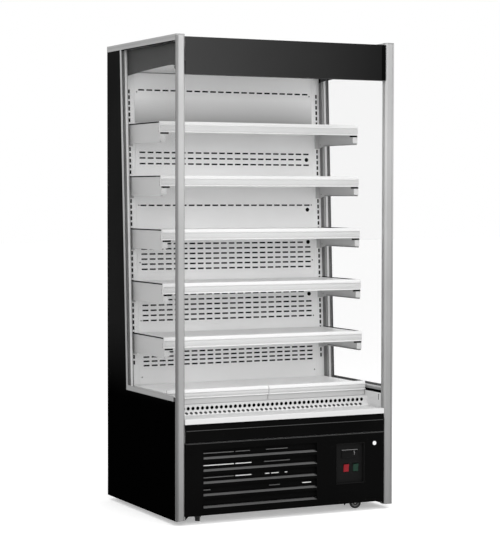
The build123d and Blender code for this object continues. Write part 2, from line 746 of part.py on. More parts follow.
# ---------------------------------------------------------------- deck
def make_deck():
    """Lift-out deck pans, air return grille, front lip, tub and apron."""
    front = case_front + deck_front
    pan_front = front + rail_thickness
    rear = face_y(deck_top) - deck_rear_gap
    outer = inner_x - rail_end_gap
    low = deck_top - deck_fold
    for name, left, right in (("deck_pan_left", -outer, -deck_joint),
                              ("deck_pan_right", deck_joint, outer)):
        with BuildPart() as pan:
            folded([(rear, deck_top - tray_fold), (rear, deck_top), (pan_front, deck_top),
                    (pan_front, low), (pan_front + tray_fold, low)], thin_sheet,
                   Plane.YZ.offset(left), right - left)
            for edge in (left, right - thin_sheet):
                block((edge, edge + thin_sheet), (pan_front, rear), (deck_top - tray_fold, deck_top))
            outline(rail_outline(front, deck_top + deck_rail_top, deck_rail_height),
                    Plane.YZ.offset(left), right - left)
        save(pan.part, name)

    face = front - grille_ahead
    top = low - seam
    bend = top - grille_face
    trough = bend - grille_slope
    lip_back = case_front + post_depth
    with BuildPart() as return_air_grille:
        folded([(face + grille_flange, top), (face, top), (face, bend), (face - grille_slope, trough),
                (lip_back + seam, trough)], thin_sheet, across(inner_x - seam), 2 * (inner_x - seam))
        with BuildSketch(Plane.XZ.offset(grille_slope - face)):
            with Locations((0, bend + grille_row)):
                with GridLocations(hole_pitch, 0, holes_per_row, 1):
                    RegularPolygon(hole_width / 2, 6)
        extrude(amount=-2 * grille_slope, mode=Mode.SUBTRACT)
        tilt = Plane(origin=(0, face - grille_slope / 2, (bend + trough) / 2), x_dir=(1, 0, 0),
                     z_dir=(0, -1, 1))
        with BuildSketch(tilt):
            with GridLocations(hole_pitch, 0, holes_per_row - 1, 1):
                RegularPolygon(hole_width / 2, 6)
        extrude(amount=grille_slope / 2, both=True, mode=Mode.SUBTRACT)
    save(return_air_grille.part, "return_air_grille")

    lip_front = case_front + header_setback
    lip_half = half_width - post_width - seam
    lip_top = lip_bottom + lip_height
    with BuildPart() as front_lip:
        with BuildSketch(across(lip_half)):
            with BuildLine():
                Polyline((lip_back, lip_bottom), (lip_back, lip_top), (lip_front + lip_round, lip_top))
                RadiusArc((lip_front + lip_round, lip_top), (lip_front, lip_top - lip_round), -lip_round)
                Polyline((lip_front, lip_top - lip_round), (lip_front, lip_bottom),
                         (lip_back, lip_bottom))
            make_face()
        extrude(amount=2 * lip_half)
    save(front_lip.part, "front_lip")

    tub_front = case_front + header_setback + 2 * sheet + apron_slope + seam
    tub_top = lip_bottom - seam
    rest = rear_wall_front - seam
    with BuildPart() as inner_tub:
        outline([(tub_front, tub_floor), (rest, tub_floor), (rest, tub_floor + tub_wall),
                 (tub_front + tub_wall, tub_floor + tub_wall), (tub_front + tub_wall, tub_top),
                 (tub_front, tub_top)], across(lip_half), 2 * lip_half)
        block((-inner_x + seam, inner_x - seam), (case_front + post_depth + tub_wall, rest),
              (tub_floor, tub_floor + tub_wall))
    save(inner_tub.part, "inner_tub")

    apron_front = case_front + header_setback
    apron_low = tub_floor + panel_gap
    with BuildPart() as front_apron:
        folded([(apron_front + apron_slope, tub_top), (apron_front, apron_fold),
                (apron_front, apron_low), (apron_front + tub_wall / 4, apron_low)], sheet,
               across(lip_half), 2 * lip_half)
    save(front_apron.part, "front_apron")


# ---------------------------------------------------------------- front of the machine compartment
def make_machine_front():
    """Louvred lower panel, control pocket with its display, and the two rockers."""
    half = half_width - post_width - seam
    front = case_front + header_setback
    top = tub_floor - seam
    slots_from = louvre_left - half_width
    slots_to = control_left - louvre_to_control
    control_right = control_left + control_width
    control_high = control_low + control_height
    corner_low = ground_gap + panel_gap
    with BuildPart() as lower_front_panel:
        outline([(-half, corner_low), (-half + panel_corner, panel_bottom),
                 (half - panel_corner, panel_bottom), (half, corner_low), (half, top), (-half, top)],
                Plane.XZ.offset(-front), -sheet)
        block((-half, half), (front, front + panel_return), (top - sheet, top))
        for side in (-half, half - sheet):
            block((side, side + sheet), (front, front + panel_return), (panel_bottom, top))
        block((control_left, control_right), (front - sheet, front + 2 * sheet),
              (control_low, control_high), mode=Mode.SUBTRACT)
        for number in range(louvre_count):
            low = louvre_low + number * louvre_pitch
            block((slots_from, slots_to), (front - sheet, front + 2 * sheet),
                  (low, low + louvre_opening), mode=Mode.SUBTRACT)
            run = louvre_blade * cos(radians(louvre_angle))
            rise = louvre_blade * sin(radians(louvre_angle))
            outline([(front, low), (front, low - sheet), (front + sheet, low - sheet),
                     (front + run, low + rise - sheet), (front + run, low + rise)],
                    Plane.YZ.offset(slots_from), slots_to - slots_from)
    save(lower_front_panel.part, "lower_front_panel")

    pocket = front + control_recess
    rim_front = front - sheet
    left, right = control_left + seam, control_right - seam
    low, high = control_low + seam, control_high - seam
    switch_level = control_low + switch_rise
    switch_left = control_left + switch_inset
    switch_right = switch_left + switch_spacing
    display_left = control_left + display_inset
    display_low = control_low + display_rise
    with BuildPart() as control_plate:
        block((left, right), (rim_front, pocket + control_wall), (low, high))
        block((left + control_wall, right - control_wall), (rim_front - sheet, pocket),
              (low + control_wall, high - control_wall), mode=Mode.SUBTRACT)
        for middle in (switch_left, switch_right):
            block((middle - switch_width / 2, middle + switch_width / 2),
                  (pocket - sheet, pocket + 2 * control_wall),
                  (switch_level - switch_height / 2, switch_level + switch_height / 2),
                  mode=Mode.SUBTRACT)
            for ear in (-1, 1):
                ear_x = middle + ear * (switch_width / 2 + control_wall / 2)
                block((ear_x - control_wall / 2, ear_x + control_wall / 2),
                      (pocket, pocket + 4 * control_wall),
                      (switch_level - 2 * control_wall, switch_level + 2 * control_wall))
                with BuildSketch(Plane.YZ.offset(middle + ear * (switch_width / 2 - 1))):
                    with Locations((pocket + 2 * control_wall, switch_level)):
                        RegularPolygon(switch_pin, few_sides)
                extrude(amount=ear * 2)
        block((display_left, display_left + display_width), (pocket - display_proud, pocket),
              (display_low, display_low + display_height))
        block((display_left + control_wall, display_left + display_width - control_wall),
              (pocket - 2 * display_proud, pocket - display_proud + 1),
              (display_low + 2 * control_wall, display_low + display_height - 2 * control_wall),
              mode=Mode.SUBTRACT)
        block((display_left, display_left + display_width), (pocket, pocket + controller_depth),
              (display_low, display_low + display_height))
    save(control_plate.part, "control_plate")

    for name, middle in (("power_switch", switch_left), ("light_switch", switch_right)):
        half_w = switch_width / 2 - switch_fit
        half_h = switch_height / 2 - switch_crown / 4
        pivot = pocket + 2 * control_wall
        crown = pocket - switch_crown / 2
        with BuildPart() as rocker:
            with BuildSketch(Plane.YZ.offset(middle - half_w)):
                with BuildLine():
                    Polyline((pivot + control_wall, switch_level - half_h / 3),
                             (pocket + switch_crown / 4, switch_level - half_h),
                             (crown, switch_level - half_h))
                    RadiusArc((crown, switch_level - half_h), (crown, switch_level + half_h),
                              -4 * half_h)
                    Polyline((crown, switch_level + half_h),
                             (pocket + switch_crown / 4, switch_level + half_h),
                             (pivot + control_wall, switch_level + half_h / 3),
                             (pivot + control_wall, switch_level - half_h / 3))
                make_face()
                with Locations((pivot, switch_level)):
                    Circle(switch_pin + shaft_fit, mode=Mode.SUBTRACT)
            extrude(amount=2 * half_w)
        pressed = rocker.part.rotate(Axis((0, pivot, switch_level), (1, 0, 0)), rocker_tilt)
        save(pressed, name)


# ---------------------------------------------------------------- casters
def make_fork(crown_top, kingpin_top, with_pedal):
    """A caster fork about its kingpin: crown, two legs, axle and the pedal's pin."""
    crown_low = wheel_radius * 2 + 2 * wheel_round - fork_sheet
    leg_top = crown_low + fork_sheet
    reach = pedal_pin_x + wheel_round
    with BuildPart() as fork:
        with BuildSketch(Plane.XY.offset(crown_low)):
            Rectangle(fork_disc * 2, 2 * (fork_half + fork_sheet))
        extrude(amount=fork_sheet)
        with BuildSketch(Plane.XY.offset(leg_top)):
            RegularPolygon(fork_disc - fork_sheet, 2 * few_sides)
        extrude(amount=crown_top - leg_top)
        if kingpin_top > crown_top:
            with BuildSketch(Plane.XY.offset(crown_top)):
                RegularPolygon(kingpin_radius, 2 * few_sides)
            extrude(amount=kingpin_top - crown_top)
        for side in (-fork_half - fork_sheet, fork_half):
            outline([(-fork_disc, leg_top), (-fork_disc, leg_top - wheel_round),
                     (trail - hub_radius, wheel_radius - hub_radius / 2),
                     (trail - hub_radius / 2, wheel_radius - hub_radius),
                     (trail + hub_radius / 2, wheel_radius - hub_radius),
                     (trail + hub_radius, wheel_radius), (reach, pedal_pin_z - wheel_round),
                     (reach, leg_top)], Plane.XZ.offset(side), fork_sheet)
        with BuildSketch(Plane.XZ.offset(-fork_half - fork_sheet / 2)):
            with Locations((trail, wheel_radius)):
                RegularPolygon(axle_radius, 2 * few_sides)
        extrude(amount=2 * fork_half + fork_sheet)
        if with_pedal:
            with BuildSketch(Plane.XZ.offset(-fork_half - fork_sheet / 2)):
                with Locations((pedal_pin_x, pedal_pin_z)):
                    RegularPolygon(pedal_pin, few_sides)
            extrude(amount=2 * fork_half + fork_sheet)
    return fork.part


def make_wheel():
    """A caster wheel with its axle bore."""
    with BuildPart() as wheel:
        with BuildSketch(Plane.XZ.offset(-wheel_width / 2)):
            with Locations((trail, wheel_radius)):
                RegularPolygon(wheel_radius, wheel_sides)
                Circle(axle_radius + axle_fit, mode=Mode.SUBTRACT)
        extrude(amount=wheel_width)
    return wheel.part


def make_pedal():
    """The wheel brake's tongue about its pin in the fork."""
    drop = pedal_thick / 2
    with BuildPart() as pedal:
        with BuildSketch(Plane.XZ.offset(-pedal_width / 2)):
            with Locations((pedal_pin_x, pedal_pin_z)):
                RegularPolygon(pedal_pin + 1.2 * drop, 2 * few_sides)
            with BuildLine():
                Polyline((pedal_pin_x, pedal_pin_z + drop), (pedal_pin_x, pedal_pin_z - drop),
                         (pedal_reach, pedal_pin_z - 2 * drop), (pedal_reach, pedal_pin_z - drop / 2),
                         (pedal_pin_x, pedal_pin_z + drop))
            make_face()
            with Locations((pedal_pin_x, pedal_pin_z)):
                Circle(pedal_pin + axle_fit, mode=Mode.SUBTRACT)
        extrude(amount=pedal_width)
    return pedal.part


def make_casters():
    """Front swivelling casters, the four wheels and the two brake pedals."""
    fork = make_fork(base_level - seam, base_top - seam, True)
    wheel = make_wheel()
    pedal = make_pedal()
    front = case_front + caster_front
    rear = case_rear - caster_rear
    places = {"front_left": Location((-caster_x, front, 0), (0, 0, front_left_yaw)),
              "front_right": Location((caster_x, front, 0), (0, 0, front_right_yaw)),
              "rear_left": Location((-caster_x, rear, 0), (0, 0, rear_yaw)),
              "rear_right": Location((caster_x, rear, 0), (0, 0, rear_yaw))}
    for name, place in places.items():
        save(wheel.moved(place), f"caster_wheel_{name}")
    for name in ("front_left", "front_right"):
        save(fork.moved(places[name]), f"caster_fork_{name}")
        save(pedal.moved(places[name]), f"brake_pedal_{name}")
    return [places["rear_left"], places["rear_right"]]


# ---------------------------------------------------------------- base and rear cover
def make_base(rigid_places):
    """Chassis tray with caster plates and rigid rear forks, rear cover, drip tray."""
    half = inner_x - seam
    front = case_front + header_setback + panel_return + seam
    behind_posts = case_front + post_depth + seam
    plate_low = base_level + caster_plate
    rigid_fork = make_fork(base_level, base_level, False)
    spots = [(x, y) for y in (case_front + caster_front, case_rear - caster_rear)
             for x in (-caster_x, caster_x)]
    with BuildPart() as base_frame:
        block((-half, half), (behind_posts, case_rear), (plate_low, base_top))
        block((-inner_x + 2 * post_chamfer, inner_x - 2 * post_chamfer), (front, behind_posts),
              (plate_low, base_top))
        for side in (-half, half - sheet):
            block((side, side + sheet), (behind_posts, case_rear), (plate_low, plate_low + base_flange))
        with BuildSketch(Plane.XY.offset(base_level)):
            with Locations(*spots):
                Rectangle(caster_plate_size, caster_plate_size)
        extrude(amount=caster_plate)
        with BuildSketch(Plane.XY.offset(base_level)):
            with Locations(*spots[:2]):
                Circle(kingpin_radius + axle_fit)
        extrude(amount=caster_plate * 2, mode=Mode.SUBTRACT)
        for place in rigid_places:
            add(rigid_fork.moved(place))
    save(base_frame.part, "base_frame")

    cover_half = half_width - rear_cover_inset
    cover_back = case_rear + rear_cover_proud
    gland_spot = (cover_half - 3 * gland_radius, rear_cover_low + 3 * gland_radius)
    with BuildPart() as rear_cover:
        block((-cover_half, cover_half), (case_rear, cover_back), (rear_cover_low, rear_cover_high))
        block((-cover_half + sheet, cover_half - sheet), (case_rear - sheet, cover_back - sheet),
              (rear_cover_low + sheet, rear_cover_high - sheet), mode=Mode.SUBTRACT)
        with BuildSketch(Plane.XZ.offset(-cover_back)):
            with Locations((0, (rear_cover_low + rear_cover_high) / 2)):
                with GridLocations(rear_slot_spacing, rear_slot_pitch, 3, rear_slot_count):
                    Rectangle(rear_slot_length, rear_slot_height)
            with Locations(gland_spot):
                RegularPolygon(gland_bore, few_sides)
        extrude(amount=2 * sheet, both=True, mode=Mode.SUBTRACT)
        with BuildSketch(Plane.XZ.offset(sheet - cover_back)):
            with Locations(gland_spot):
                RegularPolygon(gland_radius, few_sides)
                RegularPolygon(gland_bore, few_sides, mode=Mode.SUBTRACT)
        extrude(amount=rear_cover_proud - sheet)
    save(rear_cover.part, "rear_cover")

    drip_back = case_rear - drip_rear
    with BuildPart() as drip_tray:
        block((drip_x - drip_width / 2, drip_x + drip_width / 2),
              (drip_back - drip_depth, drip_back), (base_top, base_top + drip_height))
        block((drip_x - drip_width / 2 + sheet, drip_x + drip_width / 2 - sheet),
              (drip_back - drip_depth + sheet, drip_back - sheet),
              (base_top + sheet, base_top + drip_height + sheet), mode=Mode.SUBTRACT)
    save(drip_tray.part, "drip_tray")


# ---------------------------------------------------------------- refrigeration
def fan_plate(x, level, face, width, height, radius):
    """Into the open part: a plate with a round opening, spider, motor and shaft."""
    plane = Plane(origin=(x, face, level), x_dir=(1, 0, 0), z_dir=(0, -1, 0))
    motor = radius / 3
    with BuildSketch(plane) as plate:
        Rectangle(width, height)
        RegularPolygon(radius + blade_clearance, some_sides, mode=Mode.SUBTRACT)
        with PolarLocations(0, 3, start_angle=90):
            with Locations(((radius + blade_clearance) / 2, 0)):
                Rectangle(radius + blade_clearance + shroud_sheet / 2, motor / 3)
        RegularPolygon(motor, few_sides)
    extrude(plate.sketch, amount=-shroud_sheet)
    with BuildSketch(plane) as can:
        RegularPolygon(motor, few_sides)
    extrude(can.sketch, amount=-motor)
    with BuildSketch(plane) as shaft:
        RegularPolygon(shaft_radius, 2 * few_sides)
    extrude(shaft.sketch, amount=motor)


def make_rotor(name, x, level, face, radius):
    """A fan rotor ahead of its plate: bored hub and pitched blades."""
    hub = radius / 3
    depth = hub - 2 * seam
    start = face - seam
    plane = Plane(origin=(x, start, level), x_dir=(1, 0, 0), z_dir=(0, -1, 0))
    reach = radius - hub / 2 - blade_clearance
    with BuildPart() as rotor:
        with BuildSketch(plane):
            RegularPolygon(hub, 2 * few_sides)
        extrude(amount=depth)
        for number in range(blade_count):
            turn = radians(360 / blade_count * number)
            radial = Vector(cos(turn), 0, sin(turn))
            tangent = Vector(-sin(turn), 0, cos(turn))
            chord = tangent * cos(radians(blade_pitch)) + Vector(0, -1, 0) * sin(radians(blade_pitch))
            root = Vector(x, start - depth / 2, level) + radial * (hub / 2)
            blade_plane = Plane(origin=root, x_dir=radial, z_dir=radial.cross(chord))
            outline([(0, -hub / 3), (reach, -hub), (reach + blade_clearance, 0), (reach, hub),
                     (0, hub / 3)], blade_plane, blade_thickness)
        with BuildSketch(plane):
            Circle(shaft_radius + shaft_fit)
        extrude(amount=depth, mode=Mode.SUBTRACT)
    save(rotor.part, name)


def make_refrigeration():
    """Condenser, evaporator, their fans and the compressor."""
    front = case_front + condenser_front
    back = front + condenser_thickness
    left, right = condenser_x - condenser_width / 2, condenser_x + condenser_width / 2
    top = base_top + condenser_height
    mid = (base_top + top) / 2
    face = back + shroud_depth
    with BuildPart() as condenser:
        block((left, right), (front, back), (base_top, top))
        with BuildSketch(Plane.XZ.offset(-front)):
            with Locations((condenser_x, mid)):
                with GridLocations(condenser_width / core_grooves, 0, core_grooves - 1, 1):
                    Rectangle(core_fin, condenser_height - 2 * core_fin)
        extrude(amount=-core_fin, mode=Mode.SUBTRACT)
        block((left, right), (back, face), (base_top, top))
        block((left + shroud_sheet, right - shroud_sheet), (back, face),
              (base_top + shroud_sheet, top - shroud_sheet), mode=Mode.SUBTRACT)
        fan_plate(condenser_x, mid, face, condenser_width, condenser_height, condenser_fan)
    save(condenser.part, "condenser")
    make_rotor("condenser_fan", condenser_x, mid, face, condenser_fan)

    low = tub_floor + tub_wall
    coil_rear = evaporator_front + evaporator_depth
    half = evaporator_width / 2
    level = low + evaporator_height / 2
    with BuildPart() as evaporator:
        block((-half, half), (evaporator_front, coil_rear), (low, low + evaporator_height))
        with BuildSketch(Plane.XY.offset(low + evaporator_height)):
            with Locations((0, (evaporator_front + coil_rear) / 2)):
                with GridLocations(evaporator_width / core_grooves, 0, core_grooves - 1, 1):
                    Rectangle(core_fin, evaporator_depth - 2 * core_fin)
        extrude(amount=-core_fin, mode=Mode.SUBTRACT)
        for side in (-half, half - shroud_sheet):
            block((side, side + shroud_sheet), (evaporator_fan_plate, evaporator_front),
                  (low, low + evaporator_height))
        for x in (-half / 2, half / 2):
            fan_plate(x, level, evaporator_fan_plate, half, evaporator_height, evaporator_fan)
        block((-half, half), (evaporator_fan_plate, evaporator_fan_plate + shroud_sheet),
              (low, low + 2 * shroud_sheet))
    save(evaporator.part, "evaporator")
    make_rotor("evaporator_fan_left", -half / 2, level, evaporator_fan_plate, evaporator_fan)
    make_rotor("evaporator_fan_right", half / 2, level, evaporator_fan_plate, evaporator_fan)

    foot = compressor_radius / 8
    dome = compressor_radius / 2.5
    with BuildPart() as compressor:
        with BuildSketch(Plane.XZ):
            with BuildLine():
                Polyline((0, base_top + foot), (compressor_radius, base_top + foot),
                         (compressor_radius, base_top + compressor_height - dome),
                         (compressor_radius - dome, base_top + compressor_height),
                         (0, base_top + compressor_height), close=True)
            make_face()
        revolve(axis=Axis.Z)
        with BuildSketch(Plane.XY.offset(base_top + foot)):
            Rectangle(compressor_radius * 2.2, compressor_radius * 1.6)
        extrude(amount=2 * sheet)
        with BuildSketch(Plane.XY.offset(base_top)):
            with GridLocations(compressor_radius * 1.8, compressor_radius * 1.2, 2, 2):
                RegularPolygon(foot, few_sides)
        extrude(amount=foot)
    save(compressor.part.moved(Location((compressor_x, compressor_y, 0))), "compressor")


make_side_frames()
make_canopy()
make_back()
for shelf_number in range(1, shelf_count + 1):
    make_shelf(shelf_number)
make_deck()
make_machine_front()
make_base(make_casters())
make_refrigeration()
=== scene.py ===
# %% [markdown]
# # An open multideck display fridge
# A shop fridge with no door: cold air falls past the front like a curtain, so the shelves stay open.
# The CAD model fixes every size. Here each surface gets its finish, and the pieces that the CAD
# model keeps plain are modelled again with Blender's own tools.

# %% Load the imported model
import math
import bmesh
import bpy
from mathutils import Matrix, Vector


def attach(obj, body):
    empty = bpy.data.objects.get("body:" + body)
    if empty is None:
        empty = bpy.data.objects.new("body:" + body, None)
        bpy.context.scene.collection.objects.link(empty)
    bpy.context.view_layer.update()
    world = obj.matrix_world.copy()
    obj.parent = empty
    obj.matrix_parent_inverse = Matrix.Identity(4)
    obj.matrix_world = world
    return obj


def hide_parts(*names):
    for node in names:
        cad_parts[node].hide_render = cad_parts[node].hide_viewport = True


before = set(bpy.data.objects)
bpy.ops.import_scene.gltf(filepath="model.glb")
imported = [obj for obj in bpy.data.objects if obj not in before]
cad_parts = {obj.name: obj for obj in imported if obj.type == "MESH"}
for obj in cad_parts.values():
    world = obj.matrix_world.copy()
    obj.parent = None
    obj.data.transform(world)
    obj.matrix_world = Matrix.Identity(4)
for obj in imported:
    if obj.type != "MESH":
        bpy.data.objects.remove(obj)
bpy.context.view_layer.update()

scene = bpy.context.scene

# %% [markdown]
# ## Small helpers
# Operators act on everything that is selected, so each step begins from an empty selection.
# The helpers below pick one object, pick vertices by where they are, and apply a modifier.
# Every length is in millimetres, unless it is said to be in metres.

# %% Selecting and applying
MM = 0.001
MERGE_DISTANCE = 0.01
SMOOTH_ANGLE = math.radians(35)


def only(piece):
    """Select one object and make it active."""
    bpy.ops.object.select_all(action="DESELECT")
    piece.select_set(True)
    bpy.context.view_layer.objects.active = piece


def pick_vertices(piece, wanted):
    """In edit mode, select the vertices whose place passes the test."""
    bpy.ops.mesh.select_mode(type="VERT")
    bpy.ops.mesh.select_all(action="DESELECT")
    mesh = bmesh.from_edit_mesh(piece.data)
    for vertex in mesh.verts:
        vertex.select = bool(wanted(vertex.co))
    mesh.select_flush_mode()
    bmesh.update_edit_mesh(piece.data)


def apply_modifier(piece, kind, **settings):
    """Add one modifier, set it up and apply it."""
    only(piece)
    modifier = piece.modifiers.new(kind.title(), kind)
    for key, value in settings.items():
        setattr(modifier, key, value)
    bpy.ops.object.modifier_apply(modifier=modifier.name)


def place_in_mesh(piece):
    """Put the piece's object at the origin, unturned and unscaled, with its place in its mesh."""
    only(piece)
    bpy.ops.object.transform_apply(location=True, rotation=True, scale=True)
    return piece


def tidy_mesh(piece):
    """Merge doubles, point the faces outwards and smooth the shallow edges."""
    place_in_mesh(piece)
    bpy.ops.object.mode_set(mode="EDIT")
    bpy.ops.mesh.select_all(action="SELECT")
    bpy.ops.mesh.remove_doubles(threshold=MERGE_DISTANCE * MM)
    bpy.ops.mesh.normals_make_consistent(inside=False)
    bpy.ops.object.mode_set(mode="OBJECT")
    bpy.ops.object.shade_smooth_by_angle(angle=SMOOTH_ANGLE)
    return piece


# %% [markdown]
# ## Five ways to make a blank
# Almost every part of a fridge is bar, sheet or turned stock. A bar starts as a cube and a rod as a
# cylinder. A sheet is bent from point to point, a drawn section is filled and extruded, and a turned
# piece is spun. Rounding over the sharp edges gives each of them its thin line of light.

# %% Bars and rods
BEVEL_SEGMENTS = 2


def bar(name, low, high, bevel=0.0):
    """A block between two corners, its edges rounded over."""
    bpy.ops.object.select_all(action="DESELECT")
    middle = [(a + b) / 2 * MM for a, b in zip(low, high)]
    bpy.ops.mesh.primitive_cube_add(size=1, location=middle)
    piece = bpy.context.object
    piece.name = name
    piece.scale = [(b - a) * MM for a, b in zip(low, high)]
    place_in_mesh(piece)
    if bevel:
        apply_modifier(piece, "BEVEL", width=bevel * MM, segments=BEVEL_SEGMENTS, limit_method="ANGLE")
    return tidy_mesh(piece)


def rod(name, centre, radius, length, axis, sides, bevel=0.0):
    """A round bar about a point, along X or Y, its rims rounded over."""
    bpy.ops.object.select_all(action="DESELECT")
    turn = {"X": (0, math.pi / 2, 0), "Y": (math.pi / 2, 0, 0)}[axis]
    bpy.ops.mesh.primitive_cylinder_add(vertices=sides, radius=radius * MM, depth=length * MM,
                                        location=[c * MM for c in centre], rotation=turn)
    piece = bpy.context.object
    piece.name = name
    place_in_mesh(piece)
    if bevel:
        apply_modifier(piece, "BEVEL", width=bevel * MM, segments=BEVEL_SEGMENTS, limit_method="ANGLE")
    return tidy_mesh(piece)


# %% Folded sheets
FREE_EDGE_REACH = 0.05


def folded_sheet(name, left, right, points, thickness):
    """A strip folded along X by extruding its free edge from point to point, then given its wall."""
    bpy.ops.object.select_all(action="DESELECT")
    (y0, z0), (y1, z1) = points[:2]
    middle = ((left + right) / 2 * MM, (y0 + y1) / 2 * MM, (z0 + z1) / 2 * MM)
    bpy.ops.mesh.primitive_plane_add(size=1, location=middle, rotation=(math.atan2(z1 - z0, y1 - y0), 0, 0))
    piece = bpy.context.object
    piece.name = name
    piece.scale = ((right - left) * MM, math.hypot(y1 - y0, z1 - z0) * MM, 1)
    place_in_mesh(piece)
    bpy.ops.object.mode_set(mode="EDIT")
    pick_vertices(piece, lambda co: math.hypot(co.y - y1 * MM, co.z - z1 * MM) < FREE_EDGE_REACH * MM)
    for (ya, za), (yb, zb) in zip(points[1:], points[2:]):
        bpy.ops.mesh.extrude_region_move(
            TRANSFORM_OT_translate={"value": (0, (yb - ya) * MM, (zb - za) * MM)})
    bpy.ops.object.mode_set(mode="OBJECT")
    apply_modifier(piece, "SOLIDIFY", thickness=thickness * MM, offset=1, use_even_offset=True)
    return tidy_mesh(piece)


# %% Drawn sections and turned pieces
SECTION_BEVEL_ANGLE = math.radians(25)


def section_bar(name, points, start, end, axis="X", bevel=0.0):
    """A drawn section, filled as one face and extruded along X or Y."""
    def place(first, second):
        return Vector((start, first, second) if axis == "X" else (first, start, second)) * MM
    bpy.ops.object.select_all(action="DESELECT")
    bpy.ops.mesh.primitive_circle_add(vertices=len(points), radius=1, fill_type="NGON")
    piece = bpy.context.object
    piece.name = name
    bpy.ops.object.mode_set(mode="EDIT")
    mesh = bmesh.from_edit_mesh(piece.data)
    for vertex, (first, second) in zip(mesh.verts, points):
        vertex.co = place(first, second)
    bmesh.update_edit_mesh(piece.data)
    bpy.ops.mesh.select_all(action="SELECT")
    run = (end - start, 0, 0) if axis == "X" else (0, end - start, 0)
    bpy.ops.mesh.extrude_region_move(TRANSFORM_OT_translate={"value": Vector(run) * MM})
    bpy.ops.object.mode_set(mode="OBJECT")
    tidy_mesh(piece)
    if bevel:
        apply_modifier(piece, "BEVEL", width=bevel * MM, segments=BEVEL_SEGMENTS, limit_method="ANGLE",
                       angle_limit=SECTION_BEVEL_ANGLE)
        tidy_mesh(piece)
    return piece


def turned(name, points, steps=32):
    """A closed section of (radius, offset) points, spun about the Y axis at the origin."""
    bpy.ops.object.select_all(action="DESELECT")
    bpy.ops.mesh.primitive_circle_add(vertices=len(points), radius=1, fill_type="NOTHING")
    piece = bpy.context.object
    piece.name = name
    bpy.ops.object.mode_set(mode="EDIT")
    mesh = bmesh.from_edit_mesh(piece.data)
    for vertex, (radius, offset) in zip(mesh.verts, points):
        vertex.co = Vector((radius, offset, 0)) * MM
    bmesh.update_edit_mesh(piece.data)
    bpy.ops.mesh.select_all(action="SELECT")
    bpy.ops.mesh.spin(steps=steps, angle=2 * math.pi, center=(0, 0, 0), axis=(0, 1, 0))
    bpy.ops.object.mode_set(mode="OBJECT")
    return tidy_mesh(piece)


print("blanks ready")

# %% [markdown]
# ## Moving, cutting and repeating
# What repeats is made once. A straight row is an Array, and copies at odd places are each moved from
# the first. A cutter is thrown away once a Boolean has taken its shape out of the piece.

# %% Work on a blank


def moved(piece, matrix):
    """Move a piece by a matrix and keep the place in its mesh."""
    shift = matrix.copy()
    shift.translation = matrix.translation * MM
    piece.matrix_world = shift @ piece.matrix_world
    return place_in_mesh(piece)


def cut(piece, cutter):
    """Take one shape out of another and throw the cutter away."""
    apply_modifier(piece, "BOOLEAN", operation="DIFFERENCE", object=cutter, solver="EXACT")
    bpy.data.objects.remove(cutter, do_unlink=True)


def row_of(piece, count, step):
    """Repeat a piece along a line, each copy one step from the last."""
    apply_modifier(piece, "ARRAY", count=count, use_relative_offset=False, use_constant_offset=True,
                   constant_offset_displace=[s * MM for s in step])
    return piece


def copy_of(piece, shift):
    """A copy with its own mesh, moved from the piece."""
    twin = piece.copy()
    twin.data = piece.data.copy()
    scene.collection.objects.link(twin)
    twin.location = [s * MM for s in shift]
    return place_in_mesh(twin)


def copies_at(piece, places):
    """The piece, which stands at the first place, and a copy of it at each other place."""
    shifts = [[a - b for a, b in zip(place, places[0])] for place in places[1:]]
    return [piece] + [copy_of(piece, shift) for shift in shifts]


def joined(name, pieces):
    """Join several pieces into one object."""
    bpy.ops.object.select_all(action="DESELECT")
    for piece in pieces:
        piece.select_set(True)
    bpy.context.view_layer.objects.active = pieces[0]
    bpy.ops.object.join()
    pieces[0].name = name
    return pieces[0]


print("helpers ready")

# %% [markdown]
# ## Finishes
# Powder coat is colour with a faint orange peel, anodised aluminium has fine drawn lines along its
# length, and moulded plastic has a soft grain. One builder makes them all: a noise for the slow
# change of tone, a finer one for the surface, and a bump that only the highlights show. A few tones
# also fall off along an axis. That is soft shading from the light of a photograph and no part of the
# real paint, and it is taken away by leaving the falls out.

# %% Building a finish
COAT_ROUGHNESS = 0.12
TONE_DETAIL, GRAIN_DETAIL = 3, 2
TONE_RAMP = (0.3, 0.7)
RELIEF_DEPTH = 0.5
finishes = {}


def linear(value):
    """A 0 to 255 screen value as linear light."""
    value = value / 255
    return value / 12.92 if value <= 0.04045 else ((value + 0.055) / 1.055) ** 2.4


def grey(value, tint=(1, 1, 1)):
    """A linear grey from a screen value, with a slight tint."""
    return [linear(value) * t for t in tint]


def noise(tree, places, scale, detail):
    """A noise of one scale, read at the given places."""
    texture = tree.nodes.new("ShaderNodeTexNoise")
    texture.inputs["Scale"].default_value = scale
    texture.inputs["Detail"].default_value = detail
    tree.links.new(places, texture.inputs["Vector"])
    return texture.outputs["Fac"]


def fallen(tree, colour, places, axis, *span):
    """A colour that falls off along an axis.

    The span is two places along it in metres and the share of the colour left at each.
    """
    parts = tree.nodes.new("ShaderNodeSeparateXYZ")
    tree.links.new(places, parts.inputs["Vector"])
    depth = tree.nodes.new("ShaderNodeMapRange")
    for socket, number in zip(("From Min", "From Max", "To Min", "To Max"), span):
        depth.inputs[socket].default_value = number
    tree.links.new(parts.outputs[axis], depth.inputs["Value"])
    shade = tree.nodes.new("ShaderNodeVectorMath")
    shade.operation = "SCALE"
    tree.links.new(colour, shade.inputs["Vector"])
    tree.links.new(depth.outputs["Result"], shade.inputs["Scale"])
    return shade.outputs["Vector"]


